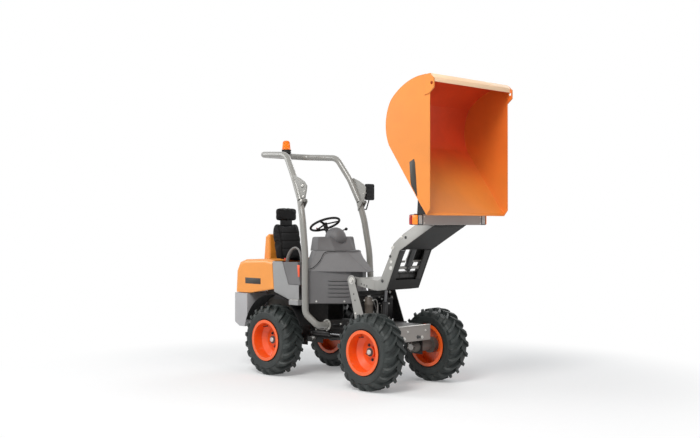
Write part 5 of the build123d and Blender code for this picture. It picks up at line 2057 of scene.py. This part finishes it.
    def gauges(self) -> None:
        """Sets the gauge cluster on the tower's rear face."""
        place, normal = touch("console_tower", at(-2.0, -0.19, 1.43), X_AXIS)
        face = Piece("gauge_panel", Ride.REAR, DARK_PLASTIC)
        dial = Piece("gauge_rings", Ride.REAR, ZINC)
        lamp = Piece("gauge_lamps", Ride.REAR, RED_LENS)
        for side in SIDES:
            spot = Vector((place.x, side * 0.19, place.z))
            out = Vector((normal.x, 0, normal.z)).normalized()
            face.prism(out, spot - out * 0.001, Y_AXIS, rectangle(0.075, 0.040), 0.005, 0.0018)
            for y in (-0.035, 0.035):
                dial.ring(out, spot + out * 0.0035 + Vector((0, y, 0)), 0.024, 0.020, 0.004, 0.001)
                lamp.disc(out, spot + out * 0.0035 + Vector((0, y, 0)), 0.004, 0.003, 0.001, 16)
        finish_all((face, dial, lamp))

    def build(self) -> None:
        """Builds the console's details."""
        self.seams()
        self.bolts()
        self.controls()
        self.gauges()


# ---------------------------------------------------------------- bonnet, counterweight, floor
@dataclass
class RearTrim:
    """The bonnet's louvres and latch, the tail lamps, the shields and the blank plates."""

    weight_x: float = -1.455
    side_y: float = 0.48
    louvres: int = 5
    blank_plate: Outline = ((-1.250, 0.974), (-0.975, 0.974), (-0.975, 1.040), (-1.250, 1.040))
    patch: Outline = ((-0.3625, 1.205), (-0.322, 1.205), (-0.322, 1.078), (-0.350, 1.078))
    weight_bolts: Outline = ((0.19, 0.79), (0.19, 0.645), (0.40, 0.645))

    def bonnet(self) -> None:
        """Presses louvres into the bonnet's rear and sets its latch and side plates; the dark strips under the
        louvre hoods are painted shade.
        """
        hoods = Piece("bonnet_louvre_hoods", Ride.BONNET, BONNET_PAINT)
        slots = Piece("bonnet_louvre_slot_shade", Ride.BONNET, DARK_PLASTIC)
        for index in range(self.louvres):
            z = 0.960 + 0.028 * index
            place, _ = touch("bonnet", at(-3.0, 0.0, z), X_AXIS)
            line = [place + Vector((0.0012, -0.23 + 0.46 * step / 12, 0.004)) for step in range(13)]
            hoods.sweep(line, 0.0062, 14, swell=eased(0.3, 8.0))
            # A dark strip under each hood stands for the shade in the slot beneath it.
            under = [point + Vector((0.0006, 0.0, -0.0082)) for point in line]
            slots.sweep(under, 0.0036, 10, swell=eased(0.3, 8.0))
        finish_all((hoods, slots), 60)
        latch = Piece("bonnet_latch", Ride.BONNET, DARK_PLASTIC)
        place, _ = touch("bonnet", at(-3.0, 0.0, 0.905), X_AXIS)
        latch.block(place + Vector((-0.007, -0.055, -0.016)), place + Vector((0.002, 0.055, 0.016)), 0.004)
        latch.block(place + Vector((-0.012, -0.030, -0.009)), place + Vector((-0.005, 0.030, 0.002)), 0.002)
        plates = Piece("bonnet_blank_plates", Ride.BONNET, STRIPE_PAINT)
        plates.side_plates(self.side_y - SINK, self.side_y + 0.0012, self.blank_plate, 0.0004)
        finish_all((latch, plates))

    def lamps(self) -> None:
        """Sets a tail lamp and its lenses at each rear corner."""
        body = Piece("tail_lamp_bodies", Ride.REAR, DARK_PLASTIC)
        red = Piece("tail_lamp_red", Ride.REAR, RED_LENS)
        amber = Piece("tail_lamp_amber", Ride.REAR, AMBER)
        depth, height = (self.weight_x - 0.018, self.weight_x - 0.011), (0.781, 0.819)
        for side in SIDES:
            body.side_block(side, (self.weight_x - 0.012, self.weight_x + 0.001), (0.345, 0.455),
                            (0.775, 0.825), 0.005)
            red.side_block(side, depth, (0.352, 0.400), height, 0.003)
            amber.side_block(side, depth, (0.403, 0.449), height, 0.003)
        finish_all((body, red, amber))

    def shields(self) -> None:
        """Lays the red-orange patch on each side box."""
        shield = Piece("side_box_shields", Ride.REAR, SHIELD_PAINT)
        for side in SIDES:
            place, _ = touch("side_boxes", at(-0.345, side * 3.0, 1.14), -Y_AXIS * side)
            low, high = sorted((place.y - side * 0.0008, place.y + side * 0.0012))
            shield.plate_xz(low, high, self.patch, 0.0004)
        shield.done()

    def weight(self) -> None:
        """Sets the counterweight's bolts."""
        bolts = Piece("counterweight_bolts", Ride.REAR, DARK_STEEL)
        for side in SIDES:
            for y, z in self.weight_bolts:
                place, normal = touch("counterweight", at(-3.0, side * y, z), X_AXIS)
                bolts.bolt(normal, place - normal * BOLT_SINK, 0.014)
        bolts.done()

    def build(self) -> None:
        """Builds the rear's trim."""
        self.bonnet()
        self.lamps()
        self.shields()
        self.weight()


@dataclass
class Floor:
    """The floor mat, the pedals, the step treads and the hoses under the deck."""

    deck: float = 0.7998
    mat_back: float = -0.515
    mat_front: float = -0.300
    mat_half: float = 0.405
    mat_ribs: int = 13
    pedal_rows: Outline = ((-0.17, 0.030), (-0.06, 0.030), (0.13, 0.034))
    hose_rows: Outline = ((0.228, 0.574), (0.205, 0.560), (0.182, 0.574))
    hose_end: float = 0.1205

    def mat(self) -> None:
        """Lays the ribbed mat."""
        mat = Piece("floor_mat", Ride.REAR, MAT_RUBBER)
        back, front, half, deck = self.mat_back, self.mat_front, self.mat_half, self.deck
        mat.block(at(back, -half, deck), at(front, half, deck + 0.004), 0.0012)
        for index in range(self.mat_ribs):
            x = back + 0.012 + (front - back - 0.024) * index / (self.mat_ribs - 1)
            mat.block(at(x - 0.003, -half + 0.012, deck + 0.0035),
                      at(x + 0.003, half - 0.012, deck + 0.0062), 0.001)
        mat.done()

    def pedals(self) -> None:
        """Stands three pedals on the floor."""
        stems = Piece("pedal_stems", Ride.REAR, DARK_STEEL)
        pads = Piece("pedal_pads", Ride.REAR, MAT_RUBBER)
        lean = Vector((-0.78, 0, 0.62)).normalized()
        up = lean.cross(Y_AXIS).normalized()
        for y, wide in self.pedal_rows:
            foot = at(-0.335, y, self.deck + 0.004)
            top = foot + Vector((0.012, 0.0, 0.085))
            stems.sweep(smooth_line([foot, foot + Vector((0.012, 0, 0.04)), top], 5), 0.006, 12)
            pads.prism(lean, top - lean * 0.004, Y_AXIS, rectangle(wide, 0.038), 0.010, 0.0035)
            for step in range(4):
                spot = top + lean * 0.0055 + up * (-0.026 + 0.0173 * step)
                pads.prism(lean, spot, Y_AXIS, rectangle(wide - 0.005, 0.003), 0.0025, 0.0008)
        finish_all((stems, pads))

    def treads(self) -> None:
        """Lays a bright ribbed tread on each side step."""
        tread = Piece("step_treads", Ride.REAR, ZINC)
        for side in SIDES:
            tread.side_block(side, (-0.440, -0.303), (0.4645, 0.5185), (0.8317, 0.8340), 0.0008)
            for index in range(9):
                x = -0.432 + 0.0151 * index
                tread.side_block(side, (x - 0.002, x + 0.002), (0.4685, 0.5145), (0.8338, 0.8358), 0.0007)
        tread.done()

    def hoses(self) -> None:
        """Lays the hoses beside the rear frame."""
        hose = Piece("deck_hoses", Ride.REAR, HOSE_RUBBER)
        ends = Piece("deck_hose_ends", Ride.REAR, ZINC)
        for index, (y, z) in enumerate(self.hose_rows):
            for side in SIDES:
                back, front = -0.52 + 0.03 * index, -0.055 - 0.03 * index
                line = [at(back, side * self.hose_end, z), at(back + 0.004, side * (y - 0.03), z),
                        at(back + 0.05, side * y, z - 0.002), at(-0.28, side * (y + 0.004), z - 0.006),
                        at(front - 0.05, side * y, z - 0.002), at(front - 0.004, side * (y - 0.03), z),
                        at(front, side * self.hose_end, z)]
                hose.sweep(smooth_line(line, 7), 0.0085, 12)
                for x in (back, front):
                    ends.disc(Y_AXIS * side, at(x, side * 0.1198, z), 0.012, 0.020, 0.003, 6)
        hose.done(angle=60)
        ends.done()

    def build(self) -> None:
        """Builds the floor's details."""
        self.mat()
        self.pedals()
        self.treads()
        self.hoses()


# ---------------------------------------------------------------- cylinders
@dataclass
class Cylinders:
    """Each cylinder's gland, hose ports and pipe.

    A row of `glands` is the barrel, its foot and its aim, the gland's reach along it, the barrel's outer
    radius and the rod's.
    """

    near_port: float = 0.060
    far_port: float = 0.045
    glands: tuple[tuple[Ride, Spot, Spot, float, float, float], ...] = (
        (Ride.LIFT_BARREL, (0.45, 0.0, 0.48), (0.50, 0.0, 1.01), 0.352, 0.032, 0.0172),
        (Ride.TIP_BARREL, (0.797, 0.0, 1.200), (1.205, 0.0, 2.084), 0.5766, 0.032, 0.0172),
        (Ride.STEER_BARREL, (-0.42, -0.21, 0.468), (0.075, -0.15, 0.468), 0.2586, 0.025, 0.0122))

    def build(self) -> None:
        """Builds the three cylinders' fittings."""
        for ride, base, end, reach, radius, bore in self.glands:
            start, finish = at(*base), at(*end)
            way = (finish - start).normalized()
            aside = way.cross(Y_AXIS).normalized() if ride is not Ride.STEER_BARREL else Z_AXIS
            if aside.z < 0:
                aside = -aside
            gland = Piece(f"{ride.value}_gland", ride, BARREL_PAINT)
            gland.ring(way, start + way * (reach - 0.022), radius + 0.0035, radius - 0.002, 0.020, 0.003, 40)
            gland.ring(way, start + way * (reach - 0.001), radius - 0.006, bore + 0.0012, 0.006, 0.0015, 40)
            ports = Piece(f"{ride.value}_ports", ride, ZINC)
            feet = [start + way * share for share in (self.near_port, reach - self.far_port)]
            for foot in feet:
                spot = foot + aside * (radius - 0.003)
                ports.disc(aside, spot, 0.009, 0.012, 0.002, 20)
                ports.disc(aside, spot + aside * 0.011, 0.0115, 0.009, 0.002, 6)
            pipe = Piece(f"{ride.value}_pipe", ride, PIPE_STEEL)
            near, far = (foot + aside * (radius + 0.012) for foot in feet)
            line = [far, far + aside * 0.004 - way * 0.020, far - way * 0.045 - aside * 0.001,
                    near + way * 0.045 - aside * 0.001, near + aside * 0.004 + way * 0.020, near]
            pipe.sweep(smooth_line(line, 6), 0.0045, 10)
            finish_all((gland, ports))
            pipe.done(angle=60)


ASSEMBLIES: tuple[type, ...] = (Wheels, Seat, SkipTrim, Lamps, BoomTrim, FrontTrim, HoopTrim, Console,
                                RearTrim, Floor, Cylinders)


# ---------------------------------------------------------------- carried-over nodes
@dataclass
class FixedNodes:
    """The frame nodes that keep their shape and only take a finish."""

    finishes: dict[Finish, tuple[str, ...]] = field(default_factory=lambda: {
        SKIP_PAINT: ("skip",),
        BONNET_PAINT: ("bonnet",),
        HOOP_PAINT: ("rops_hoop", "rops_uprights"),
        BOOM_PAINT: ("boom",),
        POST_PAINT: ("boom_posts",),
        BEAM_PAINT: ("head_beam",),
        WEIGHT_PAINT: ("counterweight",),
        PLATE_PAINT: ("front_plate",),
        FRAME_PAINT: ("front_frame", "rear_frame", "floor_deck"),
        SHADED_ROD: ("lift_cylinder_rod",),
        CASTING: ("engine", "front_wheel_motors", "rear_wheel_motors"),
        DARK_PLASTIC: ("rear_fenders", "steering_wheel", "steering_column", "beacon_base", "mirror_housing",
                       "head_lamps"),
        PANEL_PLASTIC: ("side_steps", "side_panels"),
        CONSOLE_PLASTIC: ("side_boxes", "seat_base", "console_lower", "console_hood", "console_tower",
                          "column_cowl"),
        SEAT_VINYL: ("seat_cushion", "seat_back", "headrest"),
        AMBER: ("beacon_lens",),
        TYRE_RUBBER: ("tyre_front_left", "tyre_front_right", "tyre_rear_left", "tyre_rear_right"),
        WHEEL_PAINT: ("rim_front_left", "rim_front_right", "rim_rear_left", "rim_rear_right"),
    })

    def dress(self) -> None:
        """Lays each finish on its nodes, and steel on what is left."""
        for finish, names in self.finishes.items():
            PALETTE.dress_nodes([name for name in names if name in frame["nodes"]], finish)
        named = {name for names in self.finishes.values() for name in names}
        for name in sorted(set(frame["nodes"]) - named):
            PALETTE.dress_nodes((name,), ROD_CHROME if "rod" in name else BARREL_PAINT)


# ---------------------------------------------------------------- studio
@dataclass
class Studio:
    """A pale floor, soft light and the camera."""

    camera_place: Spot = (7.529, -7.387, 1.620)
    heading: float = 136.1
    pitch: float = 0.41
    lens: float = 50.88
    sensor: float = 36.0
    floor_half: float = 60.0
    floor_tone: float = 0.86
    floor_fleck: float = 0.02
    fade_start: float = 2.2
    fade_end: float = 4.3
    wash: float = 0.2
    sky: Colour = (0.9, 0.95, 1.0)
    sky_strength: float = 0.36

    def camera(self) -> None:
        """Makes the camera."""
        data = bpy.data.cameras.new("camera")
        data.lens, data.sensor_width = self.lens, self.sensor
        data.clip_end = 500
        camera = linked("camera", data)
        heading, pitch = math.radians(self.heading), math.radians(self.pitch)
        level = math.cos(pitch)
        look = Vector((level * math.cos(heading), level * math.sin(heading), math.sin(pitch)))
        camera.location = self.camera_place
        camera.rotation_mode = "QUATERNION"
        camera.rotation_quaternion = look.to_track_quat("-Z", "Y")
        bpy.context.scene.camera = camera

    def lamp(self, name: str, place: Spot, aim: Spot, size: float, power: float,
             colour: Colour = (1.0, 1.0, 1.0)) -> None:
        """Makes one square soft lamp.

        Args:
            name: Its name.
            place: Where it hangs.
            aim: What it looks at.
            size: Its side.
            power: Its power in watts.
            colour: Its colour.
        """
        data = bpy.data.lights.new(name, "AREA")
        data.size, data.energy, data.color = size, power, colour
        lamp = linked(name, data)
        lamp.location = place
        lamp.rotation_mode = "QUATERNION"
        lamp.rotation_quaternion = (Vector(aim) - Vector(place)).to_track_quat("-Z", "Y")

    def seen_directly(self, shader: Shader) -> Field:
        """1 for rays that come from the camera, a mirror or a glass.

        Args:
            shader: The tree it is read in.

        Returns:
            The mask.
        """
        path = shader.node("ShaderNodeLightPath", {}, {})
        rays = [Field(shader, path.outputs[name])
                for name in ("Is Camera Ray", "Is Glossy Ray", "Is Transmission Ray")]
        return rays[0].most(rays[1]).most(rays[2])

    def world(self) -> None:
        """Sets a soft grey sky that is white where it is seen."""
        world = bpy.data.worlds.new("sky")
        bpy.context.scene.world = world
        shader = Shader("sky", world)
        soft = shader.value("ShaderNodeBackground", {}, {"Color": self.sky, "Strength": self.sky_strength}, 0)
        white = shader.value("ShaderNodeBackground", {}, {"Color": (1.0, 1.0, 1.0), "Strength": 1.0}, 0)
        shares = {"Fac": self.seen_directly(shader), 1: soft, 2: white}
        mixed = shader.value("ShaderNodeMixShader", {}, shares, 0)
        shader.node("ShaderNodeOutputWorld", {}, {"Surface": mixed})

    def floor(self) -> None:
        """Lays the floor, pale with a faint fleck."""
        data = bpy.data.meshes.new("floor")
        half = self.floor_half
        data.from_pydata([(x, y, 0) for x, y in rectangle(half, half)], [], [(0, 1, 2, 3)])
        floor = linked("floor", data)
        shader = Shader("pale floor")
        fleck = shader.clouds(14.0, 6.0)
        darker, paler = (self.floor_tone - self.floor_fleck,) * 3, (self.floor_tone + self.floor_fleck,) * 3
        colour = shader.blend(fleck, darker, paler)
        looks = {"Base Color": colour, "Roughness": 0.8 + fleck * 0.1}
        surface = shader.node("ShaderNodeBsdfPrincipled", {}, looks)
        white = shader.node("ShaderNodeEmission", {}, {"Color": (1.0, 1.0, 1.0), "Strength": 1.0})
        reach = (shader.x * shader.x + shader.y * shader.y).step(self.fade_start ** 2, self.fade_end ** 2)
        share = self.seen_directly(shader) * (reach * (1 - self.wash) + self.wash)
        mixed = shader.value("ShaderNodeMixShader", {}, {"Fac": share, 1: Field(shader, surface.outputs[0]),
                                                         2: Field(shader, white.outputs[0])}, 0)
        shader.node("ShaderNodeOutputMaterial", {}, {"Surface": mixed})
        data.materials.append(shader.material)

    def light(self) -> None:
        """Hangs the lamps."""
        self.lamp("key", (3.6, -6.6, 8.0), (0, 0, 1.1), 3.6, 720, (1.0, 0.985, 0.96))
        self.lamp("front", (8.5, -1.0, 6.5), (0.5, 0, 1.4), 3.5, 130)
        self.lamp("rear_fill", (-6.0, -4.5, 4.5), (-0.5, 0, 1.0), 4.0, 190)
        self.lamp("far_fill", (-2.0, 7.0, 5.5), (0, 0, 1.2), 4.0, 150)
        bpy.context.scene.view_settings.view_transform = "Standard"


def main() -> None:
    """Builds the scene, sub-assembly by sub-assembly."""
    logging.basicConfig(level=logging.INFO, format="%(message)s")
    studio = Studio()
    studio.camera()
    FixedNodes().dress()
    for assembly in ASSEMBLIES:
        LOG.info("building %s", assembly.__name__)
        assembly().build()
    studio.world()
    studio.floor()
    studio.light()


if __name__ == "__main__":
    main()
